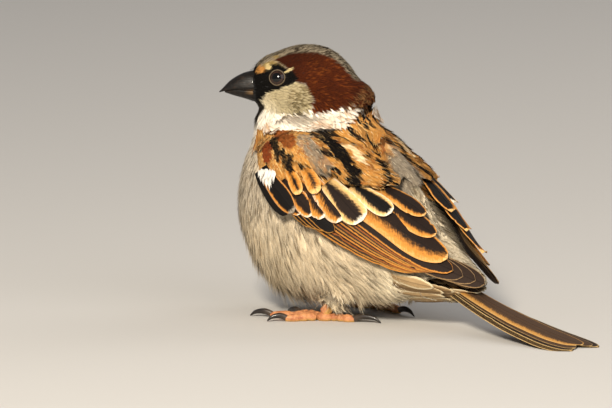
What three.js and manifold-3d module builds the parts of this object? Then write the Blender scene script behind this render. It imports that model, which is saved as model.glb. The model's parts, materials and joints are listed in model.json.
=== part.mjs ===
// An adult male house sparrow at rest on flat ground, its head turned to the left. Millimetres, life size.
// +Z is up, the body faces -X, the bird's left is -Y, and the ground is z = 0.
import * as THREE from "three";
import { mergeVertices } from "three/addons/utils/BufferGeometryUtils.js";
import Module from "manifold-3d";

const wasm = await Module();
wasm.setup();

// ---- driving dimensions ----
const headTurn = 40; // degrees, to the bird's left
const gap = 0.3; // between neighbouring pieces
const vane = 0.6; // thickness of a big feather
const ridgedOver = 8.2; // a feather wider than this has a raised middle
const eyeRadius = 3.1;
const footSpread = 24; // between the two feet
const footTurn = 20; // degrees each foot is turned out
const toeSpread = 29; // degrees between the front toes
const toeThick = 2.4;
const tailDrop = 22; // degrees, slope of the tail at its root
const tailLevel = 0.7; // how far the tail has levelled out by its tip
const tailTurn = 7; // degrees the tail is swung to the left
const tailLength = 56;
const tailFan = 1.25; // degrees between neighbouring tail feathers

const degrees = THREE.MathUtils.degToRad;
const mix = THREE.MathUtils.lerp;
const vector = (x, y, z) => new THREE.Vector3(x, y, z);

// ---- shaping helpers ----

// Numbers that change smoothly along a list of stations: a Catmull-Rom blend of every field.
function blend(stations, t) {
  const last = stations.length - 1;
  const at = Math.min(Math.max(t, 0), 1) * last;
  const i = Math.min(Math.floor(at), last - 1);
  const u = at - i;
  const pick = (n) => stations[Math.min(Math.max(n, 0), last)];
  const [a, b, c, d] = [pick(i - 1), pick(i), pick(i + 1), pick(i + 2)];
  const made = {};
  for (const key of Object.keys(b)) {
    const slopeB = (c[key] - a[key]) / 2;
    const slopeC = (d[key] - b[key]) / 2;
    const rise = c[key] - b[key];
    const curve = (3 * rise - 2 * slopeB - slopeC) * u ** 2 + (slopeB + slopeC - 2 * rise) * u ** 3;
    made[key] = b[key] + slopeB * u + curve;
  }
  return made;
}

// A manifold solid with its faces pointing out.
function solidOf(points, faces) {
  const vertProperties = new Float32Array(points.flatMap((p) => p.toArray()));
  const build = (triVerts) => new wasm.Manifold(new wasm.Mesh({ numProp: 3, vertProperties, triVerts }));
  const made = build(new Uint32Array(faces));
  if (made.volume() > 0) return made;
  return build(new Uint32Array(faces).reverse());
}

// A closed solid over rings of equal length, with a fan at each end.
function loft(rings) {
  const around = rings[0].length;
  const points = rings.flat();
  const faces = [];
  for (let i = 0; i + 1 < rings.length; i++)
    for (let j = 0; j < around; j++) {
      const [a, b] = [i * around + j, i * around + ((j + 1) % around)];
      faces.push(a, b, a + around, b, b + around, a + around);
    }
  for (const end of [0, rings.length - 1]) {
    const middle = rings[end].reduce((sum, p) => sum.add(p), vector(0, 0, 0)).divideScalar(around);
    points.push(middle);
    for (let j = 0; j < around; j++) {
      const [a, b] = [end * around + j, end * around + ((j + 1) % around)];
      faces.push(...(end === 0 ? [b, a] : [a, b]), points.length - 1);
    }
  }
  return solidOf(points, faces);
}

// A three.js geometry as a manifold solid.
function solidFrom(geometry) {
  const bare = geometry.clone();
  bare.deleteAttribute("normal");
  bare.deleteAttribute("uv");
  const merged = mergeVertices(bare, 1e-4);
  const position = merged.attributes.position;
  const points = Array.from({ length: position.count }, (_, i) => vector(0, 0, 0).fromBufferAttribute(position, i));
  return solidOf(points, Array.from(merged.index.array));
}

const joined = (solids) => solids.reduce((sum, s) => sum.add(s));
const largest = (solid) => solid.decompose().reduce((best, s) => (s.volume() > best.volume() ? s : best));

// All that lies on the far side of a plane, as a big box with one face on that plane.
function beyond(point, normal) {
  const reach = 200;
  const turn = new THREE.Quaternion().setFromUnitVectors(vector(0, 0, 1), normal.clone().normalize());
  const box = new THREE.BoxGeometry(reach, reach, reach).translate(0, 0, reach / 2).applyQuaternion(turn);
  return solidFrom(box.translate(point.x, point.y, point.z));
}

// ---- trunk, neck and head ----

// A body form: oval sections along a line. Each section has its centre, the way it is turned and pitched,
// its half width, and its depth towards the back and the belly. Fullness above 2 squares the belly side.
function bodyForm(stations, around, along, fullness) {
  const rings = [];
  for (let i = 0; i <= along; i++) {
    const s = blend(stations, i / along);
    const [turn, pitch] = [degrees(s.turn), degrees(s.pitch)];
    const right = vector(-Math.sin(turn), Math.cos(turn), 0);
    const back = vector(Math.cos(turn) * Math.sin(pitch), Math.sin(turn) * Math.sin(pitch), Math.cos(pitch));
    const ring = [];
    for (let j = 0; j < around; j++) {
      const angle = (2 * Math.PI * j) / around;
      const [c, d] = [Math.cos(angle), Math.sin(angle)];
      const power = d > 0 ? 1 : 2 / fullness;
      const across = Math.sign(c) * Math.abs(c) ** power * s.wide;
      const deep = d > 0 ? d * s.back : -(Math.abs(d) ** power) * s.belly;
      ring.push(vector(s.x, s.y, s.z).addScaledVector(right, across).addScaledVector(back, deep));
    }
    rings.push(ring);
  }
  return loft(rings);
}

const station = (x, y, z, turn, pitch, wide, back, belly) => ({ x, y, z, turn, pitch, wide, back, belly });

// From the tail's root forward to the shoulders.
const trunkLine = [
  station(44, 0, 12.5, 0, 8, 3.5, 2.4, 2.4),
  station(36, 0, 14.5, 0, 14, 8, 5, 7),
  station(26, 0, 18.5, 0, 22, 14, 9.5, 15),
  station(14, 0, 24, 0, 31, 19.5, 15, 24.5),
  station(2, 0, 30.5, 0, 42, 21.5, 18.5, 34),
  station(-8, 0, 38, 0, 54, 21.2, 17.8, 30.5),
  station(-12.5, 0, 46.5, 0, 66, 17.5, 15.2, 22.5),
  station(-14, 0, 54, 10, 76, 9, 9, 16.5),
];

// From between the shoulders up into the head, turning with it.
const neckLine = [
  station(-9.5, 0, 41, 5, 66, 9, 9, 9),
  station(-12, -0.5, 48, 18, 66, 15, 18, 17.5),
  station(-12.6, -1.5, 55, 30, 68, 13.2, 14.8, 18.2),
  station(-14.5, -2.2, 60.5, 38, 60, 7, 6, 14),
];

const headCentre = vector(-14.3, -2.0, 60.3);
const headAhead = vector(-Math.cos(degrees(headTurn)), -Math.sin(degrees(headTurn)), 0);
const headSide = vector(Math.sin(degrees(headTurn)), -Math.cos(degrees(headTurn)), 0); // the bird's left

// A place in the head: millimetres ahead of its centre, to its left and up.
function inHead(ahead, side, up) {
  return headCentre.clone().addScaledVector(headAhead, ahead).addScaledVector(headSide, side).add(vector(0, 0, up));
}

// Distance ahead of the centre, height of the section's middle, half width, and reach up and down.
const headLine = [
  [-15, -5.0, 2.5, 2.5, 3],
  [-12.5, -3.4, 6.2, 5.8, 6],
  [-8, -1.0, 8.4, 8.6, 8.5],
  [-3, 0, 9.3, 9.8, 10],
  [3, 0, 9.3, 9.9, 10],
  [8, -0.4, 7.9, 8.6, 8.2],
  [11.5, -0.8, 6.2, 7.3, 6.0],
  [14, -1.2, 4.4, 5.0, 4.6],
];
const headStations = headLine.map(([ahead, rise, wide, up, down]) => {
  const p = inHead(ahead, 0, rise);
  return station(p.x, p.y, p.z, headTurn, 0, wide, up, down);
});

const bodyWhole = joined([
  bodyForm(trunkLine, 24, 15, 2.5),
  bodyForm(neckLine, 20, 5, 2),
  bodyForm(headStations, 20, 11, 2),
]);

// ---- bill ----

// Half of the bill, from inside the face to the tip: distance ahead in the head, height of the cutting edge,
// half width, and depth of the half, which is above the edge for the upper half and below it for the lower.
const upperBill = [
  [10.5, -2.6, 3.5, 5.3],
  [14.0, -2.2, 3.3, 4.9],
  [17.0, -2.05, 2.8, 4.0],
  [20.0, -2.15, 1.8, 2.35],
  [22.2, -2.75, 0.8, 0.75],
  [23.0, -3.0, 0.35, 0.3],
];
const lowerBill = [
  [10.0, -2.6, 3.3, 3.3],
  [13.5, -2.25, 3.1, 3.1],
  [16.5, -2.05, 2.5, 2.4],
  [19.5, -2.1, 1.6, 1.5],
  [21.6, -2.5, 0.6, 0.5],
];

function billHalf(line, way, grow) {
  const steps = 6;
  const rings = line.map(([ahead, edge, wide, deep], i) => {
    const reach = i === line.length - 1 ? grow : 0;
    const start = edge + way * (gap / 2 - grow);
    const ring = [];
    for (let j = 0; j <= steps; j++) {
      const angle = (Math.PI * j) / steps;
      const side = (wide + grow) * Math.cos(angle);
      ring.push(inHead(ahead + reach, side, start + way * (deep + 2 * grow) * Math.sin(angle)));
    }
    return ring;
  });
  return loft(rings);
}

// ---- eyes ----
const eyePlace = { ahead: 7.3, side: 5.0, up: 1.3 };
function eyeBall(side, grow) {
  const at = inHead(eyePlace.ahead, side * eyePlace.side, eyePlace.up);
  return solidFrom(new THREE.SphereGeometry(eyeRadius + grow, 12, 7).translate(at.x, at.y, at.z));
}

// ---- feathers ----

const longSteps = [0, 0.35, 0.7, 0.92, 1];
const shortSteps = [0, 0.6, 0.9, 1];
const longOver = 32; // millimetres, from which a feather counts as long

// One big feather: a thin, slightly crowned plate laid on a surface from its root to its tip.
// place(s, t, height) gives a point of that surface and its outward normal. The feather has its root and tip
// as [s, t], its full width, its heights at root and tip, its roll (how much its lower edge is raised), and
// its camber radius. Grow swells it on all sides, for the clearance of its neighbours.
function feather(place, { root, tip, wide, lift, roll = 0.12, camber = 20, point = 0.5 }, grow) {
  const at = (f, h, aside = 0) => place(mix(root[0], tip[0], f), mix(root[1], tip[1], f) + aside, h);
  const length = at(0, 0).point.distanceTo(at(1, 0).point);
  const rings = (length > longOver ? longSteps : shortSteps).map((f) => {
    const g = f + (f === 0 ? -grow / length : f === 1 ? grow / length : 0);
    const height = mix(lift[0], lift[1], f);
    const { point: centre, normal } = at(g, height);
    const along = at(Math.min(g + 0.02, 1), height).point.sub(at(g - 0.02, height).point).normalize();
    const across = at(g, height, 0.01).point.sub(at(g, height, -0.01).point).projectOnPlane(along).normalize();
    const end = Math.max(0, (f - 0.7) / 0.3);
    const outline = (0.6 + 0.4 * Math.min(f / 0.6, 1)) * (1 - 0.96 * end ** 2) ** point;
    const half = (wide / 2) * outline + grow;
    const spot = (u, up) => {
      const p = centre.clone().addScaledVector(across, u * half);
      p.addScaledVector(normal, up - (u * half) ** 2 / (2 * camber) - u * roll);
      return p.setZ(Math.max(p.z, 0));
    };
    const thick = vane / 2 + grow;
    const flat = [spot(-1, thick), spot(1, thick), spot(1, -thick), spot(-1, -thick)];
    if (wide < ridgedOver) return flat;
    return [flat[0], spot(0, thick + 0.15), flat[1], flat[2], spot(0, -thick), flat[3]];
  });
  return loft(rings);
}

const feathers = (place, list, grow) => joined(list.map((one) => feather(place, one, grow)));

// ---- wings ----

// The folded wing lies on a curved surface between its lower and its upper edge, from the bend of the wing to
// its tip. Left wing; the right one is its mirror image. Bulge is how far the middle stands out.
const wingLine = [
  { lowX: -19.0, lowY: -17.0, lowZ: 43.0, highX: -15.0, highY: -13.4, highZ: 48.0, bulge: 0.4 },
  { lowX: -14.5, lowY: -21.0, lowZ: 35.5, highX: -4.6, highY: -11.0, highZ: 47.8, bulge: 2.0 },
  { lowX: -2.0, lowY: -21.8, lowZ: 28.0, highX: 6.2, highY: -4.2, highZ: 44.2, bulge: 4.4 },
  { lowX: 14.0, lowY: -19.3, lowZ: 20.8, highX: 17.8, highY: -3.8, highZ: 35.2, bulge: 3.2 },
  { lowX: 31.0, lowY: -11.2, lowZ: 14.2, highX: 29.8, highY: -3.8, highZ: 24.0, bulge: 1.0 },
  { lowX: 45.0, lowY: -3.2, lowZ: 11.0, highX: 45.2, highY: -1.6, highZ: 14.0, bulge: 0.1 },
];

function wingPoint(s, t) {
  const at = blend(wingLine, s);
  const [before, after] = [blend(wingLine, s - 0.01), blend(wingLine, s + 0.01)];
  const low = vector(at.lowX, at.lowY, at.lowZ);
  const chord = vector(at.highX, at.highY, at.highZ).sub(low);
  const along = vector(
    after.lowX + after.highX - before.lowX - before.highX,
    after.lowY + after.highY - before.lowY - before.highY,
    after.lowZ + after.highZ - before.lowZ - before.highZ,
  );
  const outward = along.cross(chord).normalize();
  return low.addScaledVector(chord, t).addScaledVector(outward, 4 * at.bulge * t * (1 - t));
}

// The wing's surface as a place function; side is 1 for the left wing and -1 for the right.
function wingPlace(side) {
  return (s, t, height) => {
    const step = 0.005;
    const inside = Math.min(Math.max(s, step), 1 - step);
    const along = wingPoint(inside + step, t).sub(wingPoint(inside - step, t));
    const up = wingPoint(s, t + step).sub(wingPoint(s, t - step));
    const normal = along.clone().cross(up).normalize();
    const past = s > 1 ? s - 1 : 0;
    const point = wingPoint(Math.min(s, 1), t).addScaledVector(along, past / (2 * step));
    point.addScaledVector(normal, height);
    return { point: point.multiply(vector(1, side, 1)), normal: normal.multiply(vector(1, side, 1)) };
  };
}

// The region between four corners [s, t], given round its edge.
function between(a, b, c, d) {
  return (u, v) => [0, 1].map((k) => mix(mix(a[k], b[k], u), mix(d[k], c[k], u), v));
}

// A pad of small feathers: a crowned sheet over a region of a surface.
function quilt(place, region, bottom, thick, grow) {
  const [rows, columns] = [5, 4];
  const spread = (n, last) => mix(-grow / 20, 1 + grow / 20, n / last);
  const points = [];
  for (const top of [1, 0])
    for (let i = 0; i <= rows; i++)
      for (let j = 0; j <= columns; j++) {
        const [s, t] = region(spread(i, rows), spread(j, columns));
        const crown = (1 - (2 * (i / rows) - 1) ** 4) * (1 - (2 * (j / columns) - 1) ** 4);
        const height = top ? bottom + thick * (0.35 + 0.65 * crown) + grow : bottom - grow;
        points.push(place(s, t, height).point);
      }
  const layer = (rows + 1) * (columns + 1);
  const index = (i, j) => i * (columns + 1) + j;
  const faces = [];
  for (let i = 0; i < rows; i++)
    for (let j = 0; j < columns; j++) {
      const [p, q, r, w] = [index(i, j), index(i + 1, j), index(i + 1, j + 1), index(i, j + 1)];
      faces.push(p, q, r, p, r, w);
      faces.push(layer + p, layer + r, layer + q, layer + p, layer + w, layer + r);
    }
  const rim = [];
  for (let i = 0; i < rows; i++) rim.push(index(i, 0));
  for (let j = 0; j < columns; j++) rim.push(index(rows, j));
  for (let i = rows; i > 0; i--) rim.push(index(i, columns));
  for (let j = columns; j > 0; j--) rim.push(index(0, j));
  rim.forEach((p, k) => {
    const q = rim[(k + 1) % rim.length];
    faces.push(q, p, layer + p, q, layer + p, layer + q);
  });
  return solidOf(points, faces);
}

const primaries = [
  { root: [0.42, 0.07], tip: [1.0, 0.4], wide: 5.4, lift: [0.3, 0.3], point: 0.8 },
  { root: [0.46, 0.17], tip: [0.965, 0.5], wide: 5.4, lift: [0.3, 0.6], point: 0.7 },
  { root: [0.5, 0.27], tip: [0.93, 0.5], wide: 5.4, lift: [0.3, 0.9], point: 0.6 },
];
const secondaries = [
  { root: [0.38, 0.11], tip: [0.8, 0.13], wide: 6, lift: [1.25, 1.2] },
  { root: [0.42, 0.23], tip: [0.84, 0.24], wide: 6, lift: [1.45, 1.5] },
  { root: [0.46, 0.35], tip: [0.88, 0.35], wide: 6, lift: [1.65, 1.8] },
];
const tertials = [
  { root: [0.54, 0.45], tip: [0.86, 0.6], wide: 8.6, lift: [1.9, 2.8], camber: 14 },
  { root: [0.58, 0.62], tip: [0.8, 0.82], wide: 8, lift: [2.1, 3.1], camber: 14 },
  { root: [0.6, 0.78], tip: [0.735, 0.93], wide: 7, lift: [2.3, 3.3], camber: 14 },
];
const greaterCoverts = [
  { root: [0.29, 0.24], tip: [0.42, 0.1], wide: 6.4, lift: [1.8, 2.2], roll: 0.25 },
  { root: [0.34, 0.31], tip: [0.5, 0.16], wide: 6.6, lift: [1.9, 2.4], roll: 0.25 },
  { root: [0.4, 0.4], tip: [0.56, 0.26], wide: 7, lift: [2.1, 2.6], roll: 0.25 },
  { root: [0.46, 0.49], tip: [0.605, 0.4], wide: 7, lift: [2.3, 2.9], roll: 0.25 },
  { root: [0.52, 0.6], tip: [0.64, 0.57], wide: 7, lift: [2.5, 3.2], roll: 0.25 },
];
const alula = [
  { root: [0.2, 0.22], tip: [0.415, 0.07], wide: 5, lift: [2.3, 2.1] },
  { root: [0.17, 0.13], tip: [0.35, 0.03], wide: 4.2, lift: [1.9, 1.7] },
];
const scapulars = [
  { root: [0.36, 0.64], tip: [0.54, 0.58], wide: 8, lift: [2.5, 3.5] },
  { root: [0.38, 0.78], tip: [0.59, 0.74], wide: 8, lift: [2.3, 3.4] },
  { root: [0.4, 0.92], tip: [0.62, 0.93], wide: 8, lift: [2.0, 3.2] },
];
const armRegion = between([0.0, 0.02], [0.24, 0.08], [0.44, 0.64], [0.0, 0.98]);
const shoulderRegion = between([0.1, 0.6], [0.44, 0.52], [0.5, 1.0], [0.1, 1.0]);
const seatMargin = 2.2;
function seatRegion(u, v) {
  const s = 1.03 * u;
  const over = seatMargin / wingPoint(s, 0).distanceTo(wingPoint(s, 1));
  return [s, mix(-over, 1 + over, v)];
}

// ---- tail ----

// The tail's surface: s runs from its root inside the rump to its tip, t is millimetres across to the left.
// It leaves the body at a slope and flattens out, so that its tip rests on the ground.
const tailRoot = vector(28, 0, 14.3);
function tailPlace(s, t, height) {
  const steps = 12;
  const swing = vector(0, 0, 1);
  const point = vector(0, 0, 0);
  let slope = 0;
  for (let i = 0; i < steps; i++) {
    slope = degrees(tailDrop) * (1 - tailLevel * ((i + 0.5) / steps) * s);
    point.add(vector(Math.cos(slope), 0, -Math.sin(slope)).multiplyScalar((tailLength * s) / steps));
  }
  const normal = vector(Math.sin(slope), 0, Math.cos(slope));
  point.add(vector(0, -t, 0)).addScaledVector(normal, height).applyAxisAngle(swing, -degrees(tailTurn));
  return { point: point.add(tailRoot), normal: normal.applyAxisAngle(swing, -degrees(tailTurn)) };
}

// The slot in the rump that holds the roots of the tail.
const tailSlot = { root: [-0.02, 0], tip: [0.5, 0], wide: 17, lift: [-1.0, -0.8], camber: 60, roll: 0, point: 0.1 };
const tailSlotRoom = 1.5;

const tailFeather = (n, side) => {
  const tip = 0.98 - 0.012 * Math.abs(3 - n);
  const spread = 1.1 + n * tailLength * Math.tan(degrees(tailFan)) * 0.72;
  return { root: [0, side * 0.6], tip: [tip, side * spread], wide: 7.4, lift: [-0.4 * n, -0.2 * n], camber: 60, roll: 0 };
};

// ---- legs ----

// A tube through points with a radius at each; nothing goes below the ground, so its underside gets a flat.
function limb(route, radii, around, grow) {
  const curve = new THREE.CatmullRomCurve3(route);
  const rings = radii.map((radius, i) => {
    const f = i / (radii.length - 1);
    const centre = curve.getPoint(f);
    const along = curve.getTangent(f);
    const across = along.clone().cross(vector(0, 0, 1)).normalize();
    const up = across.clone().cross(along).normalize();
    const ring = [];
    for (let j = 0; j < around; j++) {
      const angle = (2 * Math.PI * j) / around;
      const p = centre.clone().addScaledVector(across, (radius + grow) * Math.cos(angle));
      p.addScaledVector(up, (radius + grow) * Math.sin(angle));
      p.z = Math.max(p.z, 0);
      ring.push(p);
    }
    return ring;
  });
  return loft(rings);
}

// The toes of one foot: length, claw length, heading in the foot, and where the toe leaves the pad.
const toes = [
  { name: "middle", length: 15, claw: 5.5, heading: 0, start: 2.8 },
  { name: "inner", length: 10, claw: 5, heading: -toeSpread, start: 3.3 },
  { name: "outer", length: 10.5, claw: 4.5, heading: toeSpread, start: 3.3 },
  { name: "hind", length: 8, claw: 7, heading: 180, start: 2.4 },
];
const soleRise = toeThick / 2 - 0.4; // height of a toe's middle, so that its underside rests on a flat

function footPoint(side, heading, distance, z) {
  const angle = degrees(footTurn + heading);
  return vector(-distance * Math.cos(angle), -side * (footSpread / 2 + distance * Math.sin(angle)), z);
}

function toe(side, { length, heading, start }) {
  const on = (f, z) => footPoint(side, heading, start + (length - start) * f, z);
  const route = [on(0, soleRise), on(0.3, soleRise + 0.25), on(0.62, soleRise), on(1, soleRise - 0.1)];
  const radii = [0.6, 0.88, 1.04, 0.86, 1.04, 0.6].map((r) => (r * toeThick) / 2);
  return limb(route, radii, 6, 0);
}

function claw(side, { length, claw: reach, heading }) {
  const on = (f, z) => footPoint(side, heading, length + gap + reach * f, z);
  return limb([on(0, soleRise + 0.2), on(0.5, soleRise + 0.4), on(1, 0.3)], [0.75, 0.7, 0.48, 0.26], 6, 0);
}

// The bare shank with the pad that it stands on.
function tarsus(side, grow) {
  const ankle = footPoint(side, 0, 0, 2.2);
  const heel = vector(12, -side * 11, 16.5);
  const shank = limb([ankle, ankle.clone().lerp(heel, 0.5), heel], [1.5, 1.1, 1.05, 1.5], 6, grow);
  const sole = [footPoint(side, 180, 1.8, soleRise), footPoint(side, 0, 2.2, soleRise)];
  return shank.add(limb(sole, [1.0, 1.9, 1.9, 1.0], 6, grow));
}

// The feathered thigh, a short cone of plumage round the top of the leg.
function thigh(side, grow) {
  const route = [vector(9, -side * 11, 13), vector(4.5, -side * 11.6, 7.5), vector(1.8, -side * 12, 3.4)];
  return limb(route, [5.2, 4.8, 3.9, 2.6], 10, grow);
}

// ---- the model ----
const bird = new THREE.Group();
const looks = {
  crown: [0x5d3a22, 0.85],
  nape: [0xa9947a, 0.85],
  body: [0xa59a88, 0.9],
  bill: [0x1b191b, 0.4],
  eye: [0x120b08, 0.08],
  chestnut: [0x7a3f1e, 0.85],
  buff: [0x8a6236, 0.85],
  dark: [0x3a2a20, 0.7],
  skin: [0xb9846a, 0.6],
  claw: [0x2b2320, 0.4],
};

function piece(name, solid, look) {
  const mesh = solid.getMesh();
  const geometry = new THREE.BufferGeometry();
  geometry.setAttribute("position", new THREE.BufferAttribute(new Float32Array(mesh.vertProperties), 3));
  geometry.setIndex(new THREE.BufferAttribute(new Uint32Array(mesh.triVerts), 1));
  const [color, roughness] = looks[look];
  const made = new THREE.Mesh(geometry, new THREE.MeshStandardMaterial({ color, roughness, metalness: 0 }));
  made.name = name;
  bird.add(made);
}

const sides = { left: 1, right: -1 };
const rooms = []; // what is cut out of the body for the pieces that sit in it

for (const [name, side] of Object.entries(sides)) {
  // wing layers, outermost first: each makes room for those above it
  const place = wingPlace(side);
  const layers = {
    scapulars: { look: "buff", make: (g) => feathers(place, scapulars, g).add(quilt(place, shoulderRegion, 1.6, 1.4, g)) },
    alula: { look: "dark", make: (g) => feathers(place, alula, g) },
    greater_coverts: { look: "buff", make: (g) => feathers(place, greaterCoverts, g) },
    arm: { look: "chestnut", make: (g) => quilt(place, armRegion, 0.2, 2.1, g) },
    tertials: { look: "dark", make: (g) => feathers(place, tertials, g) },
    secondaries: { look: "buff", make: (g) => feathers(place, secondaries, g) },
    primaries: { look: "dark", make: (g) => feathers(place, primaries, g) },
  };
  let above = null;
  for (const [layer, { look, make }] of Object.entries(layers)) {
    const whole = make(0);
    piece(`wing_${name}_${layer}`, above ? largest(whole.subtract(above)) : whole, look);
    above = above ? above.add(make(gap)) : make(gap);
  }
  rooms.push(quilt(place, seatRegion, -gap, 40, 0), layers.primaries.make(gap));

  // leg
  piece(`thigh_${name}`, largest(thigh(side, 0).subtract(tarsus(side, gap)).subtract(toe(side, toes[3]))), "body");
  piece(`tarsus_${name}`, tarsus(side, 0), "skin");
  for (const one of toes) {
    piece(`toe_${name}_${one.name}`, toe(side, one), "skin");
    piece(`claw_${name}_${one.name}`, claw(side, one), "claw");
  }
  rooms.push(thigh(side, gap), tarsus(side, gap));

  // eye
  piece(`eye_${name}`, eyeBall(side, 0), "eye");
  rooms.push(eyeBall(side, gap));
}

// bill
piece("bill_upper", billHalf(upperBill, 1, 0), "bill");
piece("bill_lower", billHalf(lowerBill, -1, 0), "bill");
rooms.push(billHalf(upperBill, 1, gap), billHalf(lowerBill, -1, gap));

// tail
const tailCentre = (grow) => feathers(tailPlace, [tailFeather(0, 1), tailFeather(0, -1)], grow);
const tailSide = (side, grow) => feathers(tailPlace, [1, 2, 3, 4, 5].map((n) => tailFeather(n, side)), grow);
piece("tail_centre", tailCentre(0), "dark");
for (const [name, side] of Object.entries(sides)) {
  const away = vector(0, -side, 0).applyAxisAngle(vector(0, 0, 1), -degrees(tailTurn));
  const half = beyond(tailRoot.clone().addScaledVector(away, gap / 2), away);
  piece(`tail_${name}`, largest(tailSide(side, 0).subtract(tailCentre(gap)).intersect(half)), "dark");
}
rooms.push(feather(tailPlace, tailSlot, tailSlotRoom));

// head, neck and trunk are one form, parted by thin cuts
const bodyCut = rooms.reduce((left, room) => left.subtract(room), bodyWhole);
const neckTop = { at: inHead(0, 0, -3.2), lean: inHead(1, 0, 3.4).sub(headCentre) };
const neckRoot = { at: vector(-12, 0, 48.2), lean: vector(-0.2, 0, 1) };
const pastTop = beyond(neckTop.at, neckTop.lean);
const pastTopGap = beyond(neckTop.at.clone().addScaledVector(neckTop.lean.clone().normalize(), -gap), neckTop.lean);
const pastRoot = beyond(neckRoot.at, neckRoot.lean);
const pastRootGap = beyond(neckRoot.at.clone().addScaledVector(neckRoot.lean.clone().normalize(), -gap), neckRoot.lean);
piece("head", largest(bodyCut.intersect(pastTop)), "crown");
piece("neck", largest(bodyCut.intersect(pastRoot).subtract(pastTopGap)), "nape");
piece("trunk", largest(bodyCut.subtract(pastRootGap)), "body");

// the origin is on the ground, under the middle of the bird
const middle = new THREE.Box3().setFromObject(bird).getCenter(vector(0, 0, 0)).setZ(0);
for (const mesh of bird.children) mesh.position.sub(middle);

export default bird;
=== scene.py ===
# A life-size adult male house sparrow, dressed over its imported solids.
# Shapes are worked out in millimetres in the drawing's own frame: the bird faces -X, its left side is -Y
# and the ground is z = 0. toModel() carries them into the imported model's frame, in metres.
import json
import math

import bmesh
import bpy
import numpy as np
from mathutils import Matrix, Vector
from mathutils.bvhtree import BVHTree
from mathutils.kdtree import KDTree

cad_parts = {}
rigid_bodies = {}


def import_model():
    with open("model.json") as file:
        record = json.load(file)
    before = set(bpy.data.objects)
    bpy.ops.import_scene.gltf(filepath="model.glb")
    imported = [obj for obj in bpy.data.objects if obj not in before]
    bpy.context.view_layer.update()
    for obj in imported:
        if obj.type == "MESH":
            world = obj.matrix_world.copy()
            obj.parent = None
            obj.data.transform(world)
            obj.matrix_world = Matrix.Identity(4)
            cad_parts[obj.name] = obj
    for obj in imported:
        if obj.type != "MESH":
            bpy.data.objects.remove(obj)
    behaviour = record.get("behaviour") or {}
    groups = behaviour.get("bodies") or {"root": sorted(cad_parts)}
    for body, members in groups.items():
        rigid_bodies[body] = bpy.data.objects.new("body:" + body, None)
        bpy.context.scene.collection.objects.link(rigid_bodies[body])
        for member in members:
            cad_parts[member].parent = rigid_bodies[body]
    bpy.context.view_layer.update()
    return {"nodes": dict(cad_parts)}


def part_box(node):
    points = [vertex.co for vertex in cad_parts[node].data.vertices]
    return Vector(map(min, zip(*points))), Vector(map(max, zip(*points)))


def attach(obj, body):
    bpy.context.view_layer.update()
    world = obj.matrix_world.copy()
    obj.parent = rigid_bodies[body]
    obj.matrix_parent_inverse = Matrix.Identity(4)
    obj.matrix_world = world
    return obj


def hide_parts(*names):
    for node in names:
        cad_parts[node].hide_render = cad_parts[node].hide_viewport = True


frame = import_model()
mm = 0.001
print("frame loaded:", len(frame["nodes"]), "nodes")


# numbers

def unit(v):
    return v / np.maximum(np.linalg.norm(v, axis=-1, keepdims=True), 1e-9)


def mix(a, b, t):
    return a + (b - a) * t


def smooth(value, low, high):
    t = np.clip((value - low) / (high - low), 0, 1)
    return t * t * (3 - 2 * t)


def colour(code):
    part = np.array([int(code[i:i + 2], 16) for i in (0, 2, 4)]) / 255
    return np.where(part > 0.04045, ((part + 0.055) / 1.055) ** 2.4, part / 12.92)


def tinted(codes):
    return {name: colour(code) for name, code in codes.items()}


# soft random patches, the same on every run
def mottle(p, size, seed):
    rng = np.random.default_rng(seed)
    total = np.zeros(len(p))
    for _ in range(9):
        way = unit(rng.normal(size=3))
        total += np.sin(p @ way * (2 * math.pi / size) * rng.uniform(0.6, 1.5) + rng.uniform(0, 6.3))
    return total / 4.5


# where things are

bodyPlan = {
    "headTurn": 40,
    "headCentre": (-14.3, -2.0, 60.3),
    "eye": (7.3, 5.0, 1.3),
    "footSpread": 24,
    "footTurn": 20,
}
turn = math.radians(bodyPlan["headTurn"])
headCentre = np.array(bodyPlan["headCentre"])
headAhead = np.array([-math.cos(turn), -math.sin(turn), 0])
headSide = np.array([math.sin(turn), -math.cos(turn), 0])
upward = np.array([0.0, 0.0, 1.0])


def inHead(ahead, side, up):
    ahead, side, up = (np.asarray(x, float)[..., None] for x in (ahead, side, up))
    return headCentre + ahead * headAhead + side * headSide + up * upward


def ofHead(p):
    away = p - headCentre
    return away @ headAhead, away @ headSide, away[..., 2]


eyeLow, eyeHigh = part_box("eye_left")
modelShift = np.array((eyeLow + eyeHigh) / 2) / mm - inHead(*bodyPlan["eye"])


def toModel(p):
    return (np.asarray(p) + modelShift) * mm


def toDrawing(p):
    return np.asarray(p) / mm - modelShift


# places on the right side taken over to the left
def mirrored(p):
    return np.stack([p[:, 0], -np.abs(p[:, 1]), p[:, 2]], -1)


# the part of a direction that lies in the surface
def flatOn(lie, normal):
    return unit(lie - normal * (lie * normal).sum(1, keepdims=True))


# meshes

def linked(name, data):
    made = bpy.data.objects.new(name, data)
    bpy.context.scene.collection.objects.link(made)
    return made


def meshOf(name, points, faces):
    mesh = bpy.data.meshes.new(name)
    rows = faces if isinstance(faces, list) else faces.tolist()
    mesh.from_pydata(toModel(points).tolist(), [], rows)
    mesh.validate()
    mesh.shade_smooth()
    return linked(name, mesh)


def pointValues(mesh, name, values):
    values = np.asarray(values, np.float32)
    attribute = mesh.attributes.new(name, "FLOAT_VECTOR", "POINT")
    attribute.data.foreach_set("vector", values.ravel())


def fetched(items, key, width, kind=np.float32):
    found = np.zeros(len(items) * width, kind)
    items.foreach_get(key, found)
    return found.reshape(-1, width)


def vectorsOf(mesh, name):
    return fetched(mesh.attributes[name].data, "vector", 3)


def vertexPlaces(mesh):
    return fetched(mesh.vertices, "co", 3, float)


def vertexNormals(mesh):
    return fetched(mesh.vertex_normals, "vector", 3).astype(float)


def reshape(mesh, change):
    shell = bmesh.new()
    shell.from_mesh(mesh)
    change(shell)
    shell.to_mesh(mesh)
    shell.free()


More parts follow.
